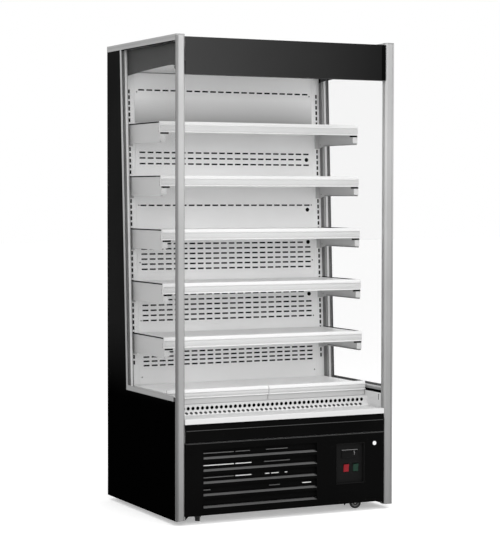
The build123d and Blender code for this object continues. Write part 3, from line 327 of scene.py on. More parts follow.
def finish(name, tone, roughness, metallic=0.0, vary=0.05, grain=900.0, bump=0.03, stretch=(1, 1, 1),
           specular=0.5, coat=0.0, patches=4.0, rough_vary=0.06, falls=()):
    """A painted, anodised or moulded surface from two layers of noise."""
    material = bpy.data.materials.new(name)
    material.use_nodes = True
    tree = material.node_tree
    shader = tree.nodes["Principled BSDF"]
    for socket, number in (("Metallic", metallic), ("Specular IOR Level", specular),
                           ("Coat Weight", coat), ("Coat Roughness", COAT_ROUGHNESS)):
        shader.inputs[socket].default_value = number
    places = tree.nodes.new("ShaderNodeTexCoord").outputs["Object"]
    scale = tree.nodes.new("ShaderNodeMapping")
    scale.inputs["Scale"].default_value = stretch
    tree.links.new(places, scale.inputs["Vector"])
    slow = noise(tree, places, patches, TONE_DETAIL)
    fine = noise(tree, scale.outputs["Vector"], grain, GRAIN_DETAIL)
    tones = tree.nodes.new("ShaderNodeValToRGB")
    for element, position, share in zip(tones.color_ramp.elements, TONE_RAMP, (1 - vary, 1 + vary)):
        element.position = position
        element.color = [min(1, c * share) for c in tone] + [1]
    tree.links.new(slow, tones.inputs["Fac"])
    colour = tones.outputs["Color"]
    for fall in falls:
        colour = fallen(tree, colour, places, *fall)
    tree.links.new(colour, shader.inputs["Base Color"])
    gloss = tree.nodes.new("ShaderNodeMapRange")
    gloss.inputs["To Min"].default_value = max(0.02, roughness - rough_vary)
    gloss.inputs["To Max"].default_value = min(1, roughness + rough_vary)
    tree.links.new(fine, gloss.inputs["Value"])
    tree.links.new(gloss.outputs["Result"], shader.inputs["Roughness"])
    relief = tree.nodes.new("ShaderNodeBump")
    relief.inputs["Strength"].default_value = bump
    relief.inputs["Distance"].default_value = RELIEF_DEPTH * MM
    tree.links.new(fine, relief.inputs["Height"])
    tree.links.new(relief.outputs["Normal"], shader.inputs["Normal"])
    finishes[name] = material
    return material


# %% Black and grey paint and plastic
# A fall's places are in metres. Both falls here are painted shade: the header darkens towards its right end,
# and the black sides darken below the glass.
shade_along_header = ("X", -0.47, 0.47, 1.05, 0.2)
shade_below_the_glass = ("Z", 0.48, 0.8, 0.05, 1.0)
finish("front_black", grey(9), 0.6, specular=0.01, vary=0.15)
finish("side_black", grey(27), 0.7, specular=0.0, vary=0.1, falls=[shade_below_the_glass])
# The grey of the fold strips is a painted highlight along the apron's folds.
finish("fold_highlight_grey", grey(62), 0.4, specular=0.1)
# The louvre lips' grey is a painted highlight on the black sheet.
finish("louvre_lip_highlight", grey(80), 0.45, specular=0.1, vary=0.12)
finish("header_grey", grey(52), 0.5, specular=0.05, falls=[shade_along_header])
finish("canopy_end_grey", grey(68), 0.5, specular=0.05)
finish("skin_grey", grey(150), 0.45)
# This black serves the real seals, the header's end strip, and the painted shade lines and gap on the
# brackets.
finish("seal_and_shade_black", grey(10), 0.8, specular=0.0)
# This black is painted shade, set behind slots, holes and louvres where there is only shade.
finish("painted_shade_black", grey(9), 0.9, specular=0.05)
finish("moulded_black", grey(18), 0.6, bump=0.12, specular=0.06)
finish("display_lens", grey(5), 0.15, specular=0.1, vary=0.02)
finish("spacer_dark", grey(60), 0.6, bump=0.1)
finish("tread_rubber", grey(45), 0.7, bump=0.25, grain=500)
finish("hub_grey", grey(150), 0.45)
finish("rocker_red", [0.22, 0.012, 0.018], 0.45, specular=0.1)
finish("rocker_green", [0.008, 0.032, 0.02], 0.4, specular=0.15)
finish("enamel_black", grey(14), 0.3, coat=0.3)
print(len(finishes), "dark finishes")

# %% White paint and plastic
# Two more falls, with their places in metres. Both are painted shade: on the deck pans' front under their
# rail, and on the top back sheet towards the top shelf.
shade_on_deck_foot = ("Z", 0.497, 0.512, 0.55, 1.0)
shade_under_the_canopy = ("Z", 1.655, 1.77, 0.36, 1.0)
finish("white_powder_coat", grey(204), 0.4, vary=0.015)
finish("shelf_white", grey(232), 0.35, vary=0.015)
finish("deck_white", grey(252), 0.35, vary=0.01, falls=[shade_on_deck_foot])
finish("interior_grey", grey(243), 0.45, vary=0.02)
finish("interior_shade", grey(248), 0.45, vary=0.02, falls=[shade_under_the_canopy])
# The edge grey is a painted shade on the side wall before the uprights.
finish("edge_shade_grey", grey(120), 0.6)
finish("seal_grey", grey(88), 0.6)
finish("return_shadow", grey(50), 0.6)
finish("bracket_grey", grey(194), 0.4, vary=0.03)
finish("lock_white", grey(228), 0.35)
finish("ticket_strip", grey(196), 0.3, vary=0.02, coat=0.15)
finish("rail_lip", grey(222), 0.3, vary=0.02, coat=0.2)
finish("rail_white", grey(224), 0.3, vary=0.01, coat=0.1)
print(len(finishes), "finishes with the white ones")

# %% Metals
# Two more falls, with their places in metres. Both are painted shade: the aluminium darkens towards the
# floor, and the outer side of the left post is darker.
shade_down_the_posts = ("Z", 0.1, 1.5, 0.55, 1.0)
shade_on_left_post_side = ("X", -0.5025, -0.4975, 0.38, 1.0)
DRAWN_GRAIN, FIN_GRAIN = 220, 300
LINES_UPRIGHT, LINES_ALONG, FIN_LINES = (6, 6, 0.05), (6, 0.05, 6), (8, 0.2, 0.2)
finish("drawn_aluminium", grey(176), 0.42, metallic=0.6, grain=DRAWN_GRAIN, stretch=LINES_UPRIGHT,
       bump=0.05, falls=[shade_down_the_posts])
finish("post_aluminium", grey(180), 0.42, metallic=0.6, grain=DRAWN_GRAIN, stretch=LINES_UPRIGHT,
       bump=0.05, falls=[shade_down_the_posts, shade_on_left_post_side])
finish("rail_aluminium", grey(160), 0.4, metallic=0.7, grain=DRAWN_GRAIN, stretch=LINES_ALONG, bump=0.05)
finish("spacer_silver", grey(205), 0.45)
finish("zinc_plate", grey(175, (1, 1, 0.98)), 0.3, metallic=1.0, vary=0.12, patches=30)
finish("coil_fins", grey(165), 0.45, metallic=0.35, grain=FIN_GRAIN, stretch=FIN_LINES, bump=0.3)
# The condenser's dark tone is a painted shade, for the little light that reaches its fins.
finish("condenser_shaded", grey(16), 0.7, specular=0.05, grain=FIN_GRAIN, stretch=FIN_LINES, bump=0.3)
# One tube in two tones: a painted highlight and a painted shade.
finish("pipe_highlight", grey(225), 0.35, vary=0.1)
finish("pipe_shade", grey(84), 0.5, vary=0.2)
print(len(finishes), "finishes with the metals")

# %% [markdown]
# ## Lamp and glass
# The lamp's milky tube glows by itself. The sides are two panes with a spacer between them, and clear
# glass is mostly what is behind it, so only about a fortieth of each pane's own surface is kept. That
# little is enough to grey what shows through it, as two real panes do.

# %% The lamp and the glass
LAMP_GLOW = 3.0
GLASS_KEPT = 0.024
lamp_shader = finish("lamp_milk", grey(240), 0.5, vary=0.01).node_tree.nodes["Principled BSDF"]
lamp_shader.inputs["Emission Color"].default_value = (1, 1, 1, 1)
lamp_shader.inputs["Emission Strength"].default_value = LAMP_GLOW
glass = finish("clear_glass", grey(56, (0.97, 1, 0.985)), 0.05, vary=0.01, grain=30, bump=0.0,
               rough_vary=0.03)
glass.node_tree.nodes["Principled BSDF"].inputs["Alpha"].default_value = GLASS_KEPT
print("lamp and glass ready")

# %% [markdown]
# ## Finishing the CAD pieces
# Many pieces already have their true shape in the CAD model, so they stay and get a finish by name.
# A node that a new piece stands for is hidden once that piece is made, further down.

# %% Finish every CAD node
node_finish = {
    "base_frame": "zinc_plate", "side_panel_left": "side_black", "side_panel_right": "side_black",
    "front_post_left": "post_aluminium", "front_post_right": "post_aluminium",
    "post_end_caps": "rail_aluminium", "top_rails": "rail_aluminium", "glass_trims": "drawn_aluminium",
    "side_glasses": "clear_glass", "glass_spacers": "spacer_silver", "canopy_ends": "canopy_end_grey",
    "roof_panel": "skin_grey", "rear_wall": "skin_grey", "header_fascia": "header_grey",
    "canopy_liner": "white_powder_coat", "air_honeycomb": "moulded_black", "led_lamp": "lamp_milk",
    "back_panel": "interior_grey", "shelf_uprights": "interior_grey", "inner_tub": "white_powder_coat",
    "evaporator": "coil_fins", "condenser": "condenser_shaded", "compressor": "enamel_black",
    "drip_tray": "moulded_black", "return_air_grille": "white_powder_coat", "front_lip": "white_powder_coat",
    "front_apron": "front_black", "lower_front_panel": "front_black", "control_plate": "moulded_black",
    "rear_cover": "zinc_plate", "power_switch": "rocker_red", "light_switch": "rocker_green",
    "deck_pan_left": "shelf_white", "deck_pan_right": "shelf_white",
}
ending_finish = {"_tray": "shelf_white", "_price_rail": "rail_white", "_brackets": "bracket_grey"}


def finish_of(name):
    """The finish of a CAD node, by its whole name, or else by how it ends or what it is."""
    if name in node_finish:
        return node_finish[name]
    for ending, choice in ending_finish.items():
        if name.endswith(ending):
            return choice
    return "tread_rubber" if "wheel" in name else "moulded_black"


for name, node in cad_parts.items():
    node.data.materials.clear()
    node.data.materials.append(finishes[finish_of(name)])
print(len(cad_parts), "nodes finished")

# %% [markdown]
# ## Dressing a new piece
# Each new piece rides on one body, the case or one that moves, and it may stand for a CAD node that it
# shows in finer detail. Its finish belongs to a slot, so that one change can recolour all of a paint.


def dressed(piece, finish_name, body, *nodes):
    """Give a piece its finish and slot, its body, and the CAD nodes it stands for."""
    piece.data.materials.clear()
    piece.data.materials.append(finishes[finish_name])
    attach(piece, body)
    if nodes:
        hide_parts(*nodes)
    return piece


# %% [markdown]
# ## The leaning back
# The back leans by a few degrees about one line at the foot of its uprights, and the shelves hang on
# it nine hook slots apart. Every piece of it is made upright, at a height that comes out right once
# the piece is leaned, because square cuts are easy to make in an upright sheet.

# %% Places that the back pieces share
LEAN = math.radians(2.8)
FOOT = Vector((0, 170.15, 470.0))
HOOK_PITCH = 25.0
SLOTS_A_SHELF = 9
SHELVES = 5
TOP_SHELF = 1648.0
shelf_step = SLOTS_A_SHELF * HOOK_PITCH * math.cos(LEAN)
SHELF_TOPS = [round(TOP_SHELF - step * shelf_step, 2) for step in range(SHELVES)]
PANEL_HEIGHT = 1407.0
PANEL_TOP = FOOT.z + PANEL_HEIGHT
SIDES = (("left", -1), ("right", 1))


def up_lean(height):
    """The height on the upright blank that ends at this height once it leans."""
    return FOOT.z + (height - FOOT.z) / math.cos(LEAN)


def leaned(piece):
    """Lean a piece back about the foot of the uprights."""
    turn = Matrix.Rotation(-LEAN, 4, "X")
    return moved(piece, Matrix.Translation(FOOT) @ turn @ Matrix.Translation(-FOOT))


def across(side, near, far):
    """The left and the right end of a piece on one side, from its distances off the middle."""
    return sorted((side * near, side * far))


print("lean", round(math.degrees(LEAN), 2), "degrees, shelf tops", SHELF_TOPS)

# %% [markdown]
# ## The slotted back sheet
# Cold air blows out of short slots punched in the back. The sheet is in two, with the joint hidden just above
# the top shelf, because the part under the canopy gets a painted shade that darkens towards the shelf. A row
# of cutters is repeated with Array, all the rows are taken out with one Boolean, and each sheet gets its
# flanges.

# %% Air slots and sensor holes
PANEL_HALF = 434.9
SLOT_PITCH = 38.3
SLOTS_IN_ROW = 22
SLOT_LENGTH, SLOT_HEIGHT = 28.0, 6.8
CUT_BEFORE, CUT_BEHIND = 3, 4
JOINT_ABOVE_SHELF, JOINT_GAP = 10, 0.4
panel_joint = up_lean(SHELF_TOPS[0] + JOINT_ABOVE_SHELF)
# The height of the middle of each group of rows, how many rows it has and their pitch.
row_groups = [(1802.0, 1, 22.0), (1506.3, 3, 24.5), (1300.5, 1, 22.0), (1077.8, 6, 22.0),
              (855.1, 6, 22.0), (632.5, 4, 18.6)]
SENSOR_X, SENSOR_RADIUS, SENSOR_SIDES, SENSOR_ROOM = 403.9, 9, 24, 14
sensor_heights = [1505.3, 1280.0, 1133.8, 899.1]


def slot_row(height):
    """The cutters of one row of air slots, one fewer where a sensor stands at the row's end."""
    start = -(SLOTS_IN_ROW - 1) / 2 * SLOT_PITCH
    cutter = bar("slot_cutter", (start - SLOT_LENGTH / 2, FOOT.y - CUT_BEFORE, height - SLOT_HEIGHT / 2),
                 (start + SLOT_LENGTH / 2, FOOT.y + CUT_BEHIND, height + SLOT_HEIGHT / 2))
    beside = any(abs(height - up_lean(sensor)) < SENSOR_ROOM for sensor in sensor_heights)
    return row_of(cutter, SLOTS_IN_ROW - beside, (SLOT_PITCH, 0, 0))


lower_cutters = []
upper_cutters = []
for middle, rows, pitch in row_groups:
    for row in range(rows):
        height = up_lean(middle + (row - (rows - 1) / 2) * pitch)
        (upper_cutters if height > panel_joint else lower_cutters).append(slot_row(height))
for sensor in sensor_heights:
    lower_cutters.append(rod("sensor_cutter", (SENSOR_X, FOOT.y, up_lean(sensor)), SENSOR_RADIUS,
                             2 * CUT_BEHIND, "Y", SENSOR_SIDES))
print("rows of slots", len(upper_cutters), "and", len(lower_cutters) - len(sensor_heights))

# %% The two sheets
PANEL_WALL = 0.9
FLANGE_START, FLANGE_END = 0.5, 14


def back_sheet(name, low, high, cutters, finish_name):
    """One slotted sheet with a flange down each side, leaned back."""
    sheet = bar(name, (-PANEL_HALF, FOOT.y, low), (PANEL_HALF, FOOT.y + PANEL_WALL, high))
    cut(sheet, joined("slot_cutters", cutters))
    pieces = [tidy_mesh(sheet)]
    for _, side in SIDES:
        left, right = across(side, PANEL_HALF - PANEL_WALL, PANEL_HALF)
        pieces.append(bar("flange", (left, FOOT.y + FLANGE_START, low), (right, FOOT.y + FLANGE_END, high)))
    sheet = dressed(leaned(joined(name, pieces)), finish_name, "case", "back_panel")
    print(name, len(sheet.data.polygons), "faces")


back_sheet("back_sheet", FOOT.z, panel_joint, lower_cutters, "interior_grey")
back_sheet("back_sheet_top", panel_joint + JOINT_GAP, PANEL_TOP, upper_cutters, "interior_shade")

# %% [markdown]
# ## Uprights
# Two folded channels carry the shelves. Their faces have a long row of hook slots, and one slot repeated with
# Array keeps the pitch exact. A thin grey strip on the side wall in front of each one is a painted shade.

# %% The slotted uprights
UPRIGHT_SLOTS = 48
UPRIGHT_NEAR, UPRIGHT_FAR = 435.3, 475.1
UPRIGHT_WALL, UPRIGHT_DEPTH, UPRIGHT_BEVEL = 1.8, 19.5, 0.3
WALL_START = 1.5
HOOK_X, HOOK_HALF_WIDTH, HOOK_HALF_HEIGHT = 460, 4.4, 8.5
HOOK_CUT_BEHIND = 5
HOOK_DROP, HOOK_SEAT, SLOTS_BELOW = 12, 8, 5
first_hook = up_lean(SHELF_TOPS[-1] - HOOK_DROP) - SLOTS_BELOW * HOOK_PITCH + HOOK_SEAT
channels = []
for _, side in SIDES:
    left, right = across(side, UPRIGHT_NEAR, UPRIGHT_FAR)
    face = bar("face", (left, FOOT.y, FOOT.z), (right, FOOT.y + UPRIGHT_WALL, PANEL_TOP), UPRIGHT_BEVEL)
    hook_left, hook_right = side * HOOK_X - HOOK_HALF_WIDTH, side * HOOK_X + HOOK_HALF_WIDTH
    hook_slot = bar("hook_cutter", (hook_left, FOOT.y - CUT_BEFORE, first_hook - HOOK_HALF_HEIGHT),
                    (hook_right, FOOT.y + HOOK_CUT_BEHIND, first_hook + HOOK_HALF_HEIGHT))
    cut(face, row_of(hook_slot, UPRIGHT_SLOTS, (0, 0, HOOK_PITCH)))
    walls = [bar("wall", (edge, FOOT.y + WALL_START, FOOT.z),
                 (edge + UPRIGHT_WALL, FOOT.y + UPRIGHT_DEPTH, PANEL_TOP))
             for edge in (left, right - UPRIGHT_WALL)]
    channels.append(joined("channel", [tidy_mesh(face), *walls]))
dressed(leaned(joined("slotted_uprights", channels)), "interior_grey", "case", "shelf_uprights")
print("upright slots", 2 * UPRIGHT_SLOTS)

# %% Strips before the uprights
EDGE_NEAR, EDGE_FAR = 474.3, 474.9
EDGE_FRONT, EDGE_REAR = -21, -0.2
EDGE_ABOVE_FOOT, EDGE_BELOW_TOP = 44, 20
edges = []
for _, side in SIDES:
    left, right = across(side, EDGE_NEAR, EDGE_FAR)
    edges.append(bar("edge", (left, FOOT.y + EDGE_FRONT, FOOT.z + EDGE_ABOVE_FOOT),
                     (right, FOOT.y + EDGE_REAR, PANEL_TOP - EDGE_BELOW_TOP)))
dressed(leaned(joined("edge_shade_strips", edges)), "edge_shade_grey", "case")
print("edges", len(edges))

# %% [markdown]
# ## Behind the slots
# Through the slots one sees into the shaded air duct. A black sheet behind the back sheet is painted shade
# that keeps them dark from every side, and a black strip inside each upright does the same for the hook
# slots. Both are plain bars, because nothing shows of them but their tone.

# %% Painted shade behind the slots and in the uprights
SLOT_SHADE_HALF, SLOT_SHADE_END_GAP = 430, 4
SLOT_SHADE_NEAR, SLOT_SHADE_FAR = 11, 13
STRIP_NEAR, STRIP_FAR, STRIP_FRONT, STRIP_REAR = 438, 472, 9, 10
slot_shade_low, slot_shade_high = FOOT.z + SLOT_SHADE_END_GAP, PANEL_TOP - SLOT_SHADE_END_GAP
slot_shade = bar("slot_shade_sheet", (-SLOT_SHADE_HALF, FOOT.y + SLOT_SHADE_NEAR, slot_shade_low),
             (SLOT_SHADE_HALF, FOOT.y + SLOT_SHADE_FAR, slot_shade_high))
dressed(leaned(slot_shade), "painted_shade_black", "case")
strips = []
for _, side in SIDES:
    left, right = across(side, STRIP_NEAR, STRIP_FAR)
    strips.append(bar("strip", (left, FOOT.y + STRIP_FRONT, slot_shade_low),
                      (right, FOOT.y + STRIP_REAR, slot_shade_high)))
dressed(leaned(joined("upright_shade_strips", strips)), "painted_shade_black", "case")
print("shade_bars", 1 + len(strips))

# %% [markdown]
# ## Sensors and panel screws
# Round plugs hold the temperature sensors, and screws fix the sheet down both sides. One of each is
# rounded over and then copied to its places on the upright sheet, before all of them lean together.

# %% Sensor plugs and panel screws
PLUG_RADIUS, PLUG_LENGTH, PLUG_BEVEL, PLUG_SINK = 8.9, 5.0, 0.8, 0.5
SCREW_X, SCREW_RADIUS, SCREW_LENGTH, SCREW_SIDES, SCREW_BEVEL = 424, 3.0, 1.4, 12, 0.4
SCREW_RISE = 0.4
screw_heights = [1793.0, 1301.0, 1052.0, 800.0, 555.0]
plug_places = [(SENSOR_X, FOOT.y + PLUG_SINK, up_lean(sensor)) for sensor in sensor_heights]
plug = rod("plug", plug_places[0], PLUG_RADIUS, PLUG_LENGTH, "Y", SENSOR_SIDES, PLUG_BEVEL)
plugs = copies_at(plug, plug_places)
dressed(leaned(joined("sensor_plugs", plugs)), "moulded_black", "case")

screw_places = [(x, FOOT.y - SCREW_RISE, up_lean(height))
                for x in (-SCREW_X, SCREW_X) for height in screw_heights]
screw = rod("screw", screw_places[0], SCREW_RADIUS, SCREW_LENGTH, "Y", SCREW_SIDES, SCREW_BEVEL)
screws = copies_at(screw, screw_places)
dressed(leaned(joined("panel_screws", screws)), "spacer_dark", "case")
print(len(plugs), "sensors,", len(screws), "screws")

# %% [markdown]
# ## Air return
# Warm air goes back into the case through a folded and perforated sheet in front of the deck. The sheet is
# drawn as a strip whose free edge is extruded from fold to fold, and two rows of round holes are drilled
# through it: one in the upright face, one in the sloping one. A dark bar behind each row is painted shade
# seen through the holes.

# %% The perforated return sheet
RETURN_HALF, RETURN_WALL = 475.0, 0.8
DECK_EDGE, UPRIGHT_FACE, SLOPE_FOOT, LIP_EDGE = -187.2, -216.9, -232.4, -348.5
RETURN_TOP, RETURN_BEND, RETURN_LOW = 473.6, 446.6, 431.2
HOLES, HOLE_PITCH, HOLE_SIDES, DRILL_LENGTH = 42, 21.8, 16, 12
UPPER_RADIUS, LOWER_RADIUS = 7.6, 7.2
UPPER_ROW, LOWER_ROW = (-217, 457.6), (-224.6, 438.9)
return_sheet = folded_sheet("return_sheet", -RETURN_HALF, RETURN_HALF,
                            [(DECK_EDGE, RETURN_TOP), (UPRIGHT_FACE, RETURN_TOP), (UPRIGHT_FACE, RETURN_BEND),
                             (SLOPE_FOOT, RETURN_LOW), (LIP_EDGE, RETURN_LOW)], RETURN_WALL)
start = -(HOLES - 1) / 2 * HOLE_PITCH
upper = rod("drill", (start, *UPPER_ROW), UPPER_RADIUS, DRILL_LENGTH, "Y", HOLE_SIDES)
cut(return_sheet, row_of(upper, HOLES, (HOLE_PITCH, 0, 0)))
lower = rod("drill", (start + HOLE_PITCH / 2, 0, 0), LOWER_RADIUS, DRILL_LENGTH, "Y", HOLE_SIDES)
moved(lower, Matrix.Translation((0, *LOWER_ROW)) @ Matrix.Rotation(math.radians(-45), 4, "X"))
cut(return_sheet, row_of(lower, HOLES - 1, (HOLE_PITCH, 0, 0)))
dressed(tidy_mesh(return_sheet), "white_powder_coat", "case", "return_air_grille")
print("return holes", 2 * HOLES - 1)

# %% Dark bars behind the holes
SHADE_HALF, SHADE_FRONT, SHADE_REAR, SHADE_LOW, SHADE_HIGH = 474, -212.5, -211.5, 433, 472
LOWER_SHADE_HALF = 472
lower_shade_outline = [(-214.2, 445.0), (-230.4, 428.8), (-229.8, 428.2), (-213.6, 444.4)]
shade = bar("return_shade", (-SHADE_HALF, SHADE_FRONT, SHADE_LOW), (SHADE_HALF, SHADE_REAR, SHADE_HIGH))
dressed(shade, "painted_shade_black", "case")
shade_bar = section_bar("return_lower_shade", lower_shade_outline, -LOWER_SHADE_HALF, LOWER_SHADE_HALF)
dressed(shade_bar, "return_shadow", "case")
print("return backing ready")

# %% [markdown]
# ## Ticket rails
# Each shelf ends in a plastic ticket rail: a sloped lip, a clear curved strip that holds the tickets
# and a bead below. The outline is drawn once and extruded, and the curved strip is its own piece so
# that the light rolls over it from bright to dim. The deck pans below carry a lower rail of the same
# outline, so one function makes both.

# %% The rail's three outlines
RAIL_DEPTH = 12.0
CURVE_STEPS, CURVE_SWELL = 8, 2.9


def rail_section(front, top, height):
    """The rail's outline in Y and Z: upper bead, recess and lower bead."""
    back, low = front + RAIL_DEPTH, top - height
    return [(back, low + 0.2), (back, top - 12.2), (front + 0.5, top - 12.2), (front, top - 13.2),
            (front, top - 14.8), (front + 4, top - 16), (front + 4, low + 5), (front, low + 3.4),
            (front, low + 1.2), (front + 1.6, low + 0.2)]


def lip_section(front, top):
    """The sloped lip above the rail."""
    back = front + RAIL_DEPTH
    return [(back, top - 12.1), (back, top - 1.5), (back - 3, top), (front + 5.5, top - 1.0),
            (front + 0.8, top - 12.1)]


def strip_section(front, top, height):
    """The clear strip's outline: flat at the back, curved at the front."""
    low, high = top - height + 5.4, top - 16.2
    curve = []
    for step in range(CURVE_STEPS + 1):
        share = step / CURVE_STEPS
        swell = CURVE_SWELL * math.sin(math.pi * share)
        curve.append((front + 3.6 - swell, high + (low - high) * share))
    return [(front + 4.4, low), (front + 4.4, high), *curve]


def ticket_rail(names, left, right, inset, front, top, height, lip_finish, body, *nodes):
    """A rail, its lip and its strip along one shelf or pan, the strip set in at both ends."""
    rail_name, lip_name, strip_name = names
    rail = section_bar(rail_name, rail_section(front, top, height), left, right, bevel=0.5)
    dressed(rail, "rail_white", body, *nodes)
    lip = section_bar(lip_name, lip_section(front, top), left, right, bevel=0.4)
    dressed(lip, lip_finish, body)
    strip = section_bar(strip_name, strip_section(front, top, height), left + inset, right - inset)
    dressed(strip, "ticket_strip", body)


print("rail outlines ready")

# %% Rails along the shelves
RAIL_HALF, STRIP_INSET = 472, 1.5
RAIL_HEIGHT, RAIL_RISE = 46.0, 5
RAIL_STEP = 11.0
TOP_RAIL_FRONT = -133.8
shelves = [(number, top, TOP_RAIL_FRONT - (number - 1) * RAIL_STEP)
           for number, top in enumerate(SHELF_TOPS, 1)]
for number, top, front in shelves:
    names = (f"ticket_rail_{number}", f"rail_lip_{number}", f"ticket_strip_{number}")
    ticket_rail(names, -RAIL_HALF, RAIL_HALF, STRIP_INSET, front, top + RAIL_RISE, RAIL_HEIGHT, "rail_lip",
                f"shelf_{number}", f"shelf_{number}_price_rail")
print("ticket rails", len(shelves))

# %% [markdown]
# ## Bracket fittings
# The brackets hook into the uprights and carry the tray. Their shape is in the CAD model. Here they get the
# rivets that hold the folded flange, dark lines of painted shade where the tray meets the plates and along
# the flange's lower edge, and a painted shadow gap under the rail. Each line is a thin black bar.

# %% Rivets on the brackets
RIVET_X, RIVET_RADIUS, RIVET_LENGTH, RIVET_SIDES, RIVET_BEVEL = 469, 2.3, 3.6, 12, 0.5
BEHIND_RAIL, BEFORE_UPRIGHT = 24, 20
FRONT_DROPS, REAR_DROPS = (24, 36), (74, 26)


def bracket_rear(top):
    """How far back the brackets of one shelf meet the leaning uprights."""
    return FOOT.y + (top - FOOT.z) * math.tan(LEAN)


def bracket_rivets(number, top, front):
    """Two rivets behind the rail and two before the upright, on both brackets of a shelf."""
    spots = [(front + BEHIND_RAIL, top - drop) for drop in FRONT_DROPS]
    spots += [(bracket_rear(top) - BEFORE_UPRIGHT, top - drop) for drop in REAR_DROPS]
    places = [(x, *spot) for x in (-RIVET_X, RIVET_X) for spot in spots]
    rivet = rod("rivet", places[0], RIVET_RADIUS, RIVET_LENGTH, "X", RIVET_SIDES, RIVET_BEVEL)
    rivets = joined(f"bracket_rivets_{number}", copies_at(rivet, places))
    dressed(rivets, "spacer_dark", f"shelf_{number}")


print("rivet radius", RIVET_RADIUS)

# %% Painted shade lines and gaps on the brackets
SHADE_LINE_BEVEL = 0.3
FLANGE_FACE, PLATE_FACE, PLATE_BACK = 466.6, 467.9, 470.6
GAP_NEAR, GAP_FAR = 432, 469.6
TRAY_EDGE, SHADE_LINE_TOP = 13, 3.4


def bracket_shade_lines(number, top, front):
    """On both sides: along the tray, down behind the rail, along the flange, and under the rail."""
    rear = bracket_rear(top)
    start, high = front + TRAY_EDGE, top + SHADE_LINE_TOP
    shade_lines = []
    for _, side in SIDES:
        left, right = across(side, PLATE_FACE, PLATE_BACK)
        shade_lines.append(bar("shade_line", (left, start, top - 1.8), (right, rear - 10, high), SHADE_LINE_BEVEL))
        shade_lines.append(bar("shade_line", (left, start, top - 16), (right, start + 3, high), SHADE_LINE_BEVEL))
        left, right = across(side, FLANGE_FACE, PLATE_FACE)
        shade_lines.append(bar("shade_line", (left, front + 8, top - 81.5), (right, rear - 52, top - 78.8), SHADE_LINE_BEVEL))
        left, right = across(side, GAP_NEAR, GAP_FAR)
        shade_lines.append(bar("gap", (left, front + 3.6, top - 48.5), (right, front + 4.4, top - 41.6)))
    dressed(joined(f"bracket_shade_lines_{number}", shade_lines), "seal_and_shade_black", f"shelf_{number}")


for shelf in shelves:
    bracket_rivets(*shelf)
    bracket_shade_lines(*shelf)
print("bracket fittings", len(shelves))

# %% [markdown]
# ## Deck pans
# The two lower pans lift out for cleaning. Each is one folded sheet with a skirt down both sides and
# a ticket rail along its front, so the same rail is used again, a little lower.

# %% The two deck pans
DECK_TOP = 524.0
DECK_FRONT, DECK_REAR = -208.0, 167.6
PAN_NEAR, PAN_FAR, PAN_WALL = 1.2, 471.9, 1.0
PAN_SKIRT, PAN_FRONT_DROP, PAN_RETURN = 19, 49.7, 19
DECK_RAIL_HEIGHT, DECK_RAIL_RISE, DECK_STRIP_INSET = 39, 13, 1
pan_front = DECK_FRONT + RAIL_DEPTH
for name, side in SIDES:
    left, right = across(side, PAN_NEAR, PAN_FAR)
    pan = folded_sheet(f"deck_sheet_{name}", left, right,
                       [(DECK_REAR, DECK_TOP - PAN_SKIRT), (DECK_REAR, DECK_TOP), (pan_front, DECK_TOP),
                        (pan_front, DECK_TOP - PAN_FRONT_DROP),
                        (pan_front + PAN_RETURN, DECK_TOP - PAN_FRONT_DROP)], PAN_WALL)
    skirts = [bar("skirt", (edge, pan_front + 0.5, DECK_TOP - PAN_SKIRT),
                  (edge + PAN_WALL, DECK_REAR - 0.5, DECK_TOP - 0.5)) for edge in (left, right - PAN_WALL)]
    pan = joined(f"deck_sheet_{name}", [pan, *skirts])
    dressed(pan, "deck_white", f"deck_{name}", f"deck_pan_{name}")
    names = (f"deck_rail_{name}", f"deck_lip_{name}", f"deck_strip_{name}")
    ticket_rail(names, left, right, DECK_STRIP_INSET, DECK_FRONT, DECK_TOP + DECK_RAIL_RISE, DECK_RAIL_HEIGHT,
                "rail_white", f"deck_{name}")
print("deck pans", len(SIDES))

# %% [markdown]
# ## Inner side liners
# Below the glass the black sides are lined with white sheet, with a slot near the front where a
# divider can hang. A thin bar is enough, cut once, because only its face and its top edge show.

# %% Side liners
LINER_NEAR, LINER_FAR, LINER_BEVEL = 474.3, 475.3, 0.2
LINER_FRONT, LINER_REAR, LINER_LOW, LINER_HIGH = -347.5, 165, 431.6, 495.5
HOLE_FRONT, HOLE_REAR, HOLE_LOW, HOLE_HIGH = -318, -312, 464, 490
LINER_SLOT_X, MARGIN = 475.2, 2
for name, side in SIDES:
    left, right = across(side, LINER_NEAR, LINER_FAR)
    liner = bar(f"side_liner_{name}", (left, LINER_FRONT, LINER_LOW), (right, LINER_REAR, LINER_HIGH),
                LINER_BEVEL)
    cut(liner, bar("cutter", (left - MARGIN, HOLE_FRONT, HOLE_LOW), (right + MARGIN, HOLE_REAR, HOLE_HIGH)))
    dressed(tidy_mesh(liner), "white_powder_coat", "case")
    # A black bar behind the slot is painted shade seen through it.
    slot_x = side * LINER_SLOT_X
    shade_bar = bar(f"liner_slot_shade_{name}", (slot_x - 0.15, HOLE_FRONT - MARGIN, HOLE_LOW - MARGIN),
                  (slot_x + 0.2, HOLE_REAR + MARGIN, HOLE_HIGH + MARGIN))
    dressed(shade_bar, "painted_shade_black", "case")
print("side liners ready")

# %% [markdown]
# ## Machine front
# The lower panel is a steel sheet with five long openings and a rectangular one for the controls. Its
# lower edge rises between the corners. The openings are cut out of the drawn sheet, and the folded
# returns behind its edges are joined to it as thin bars.

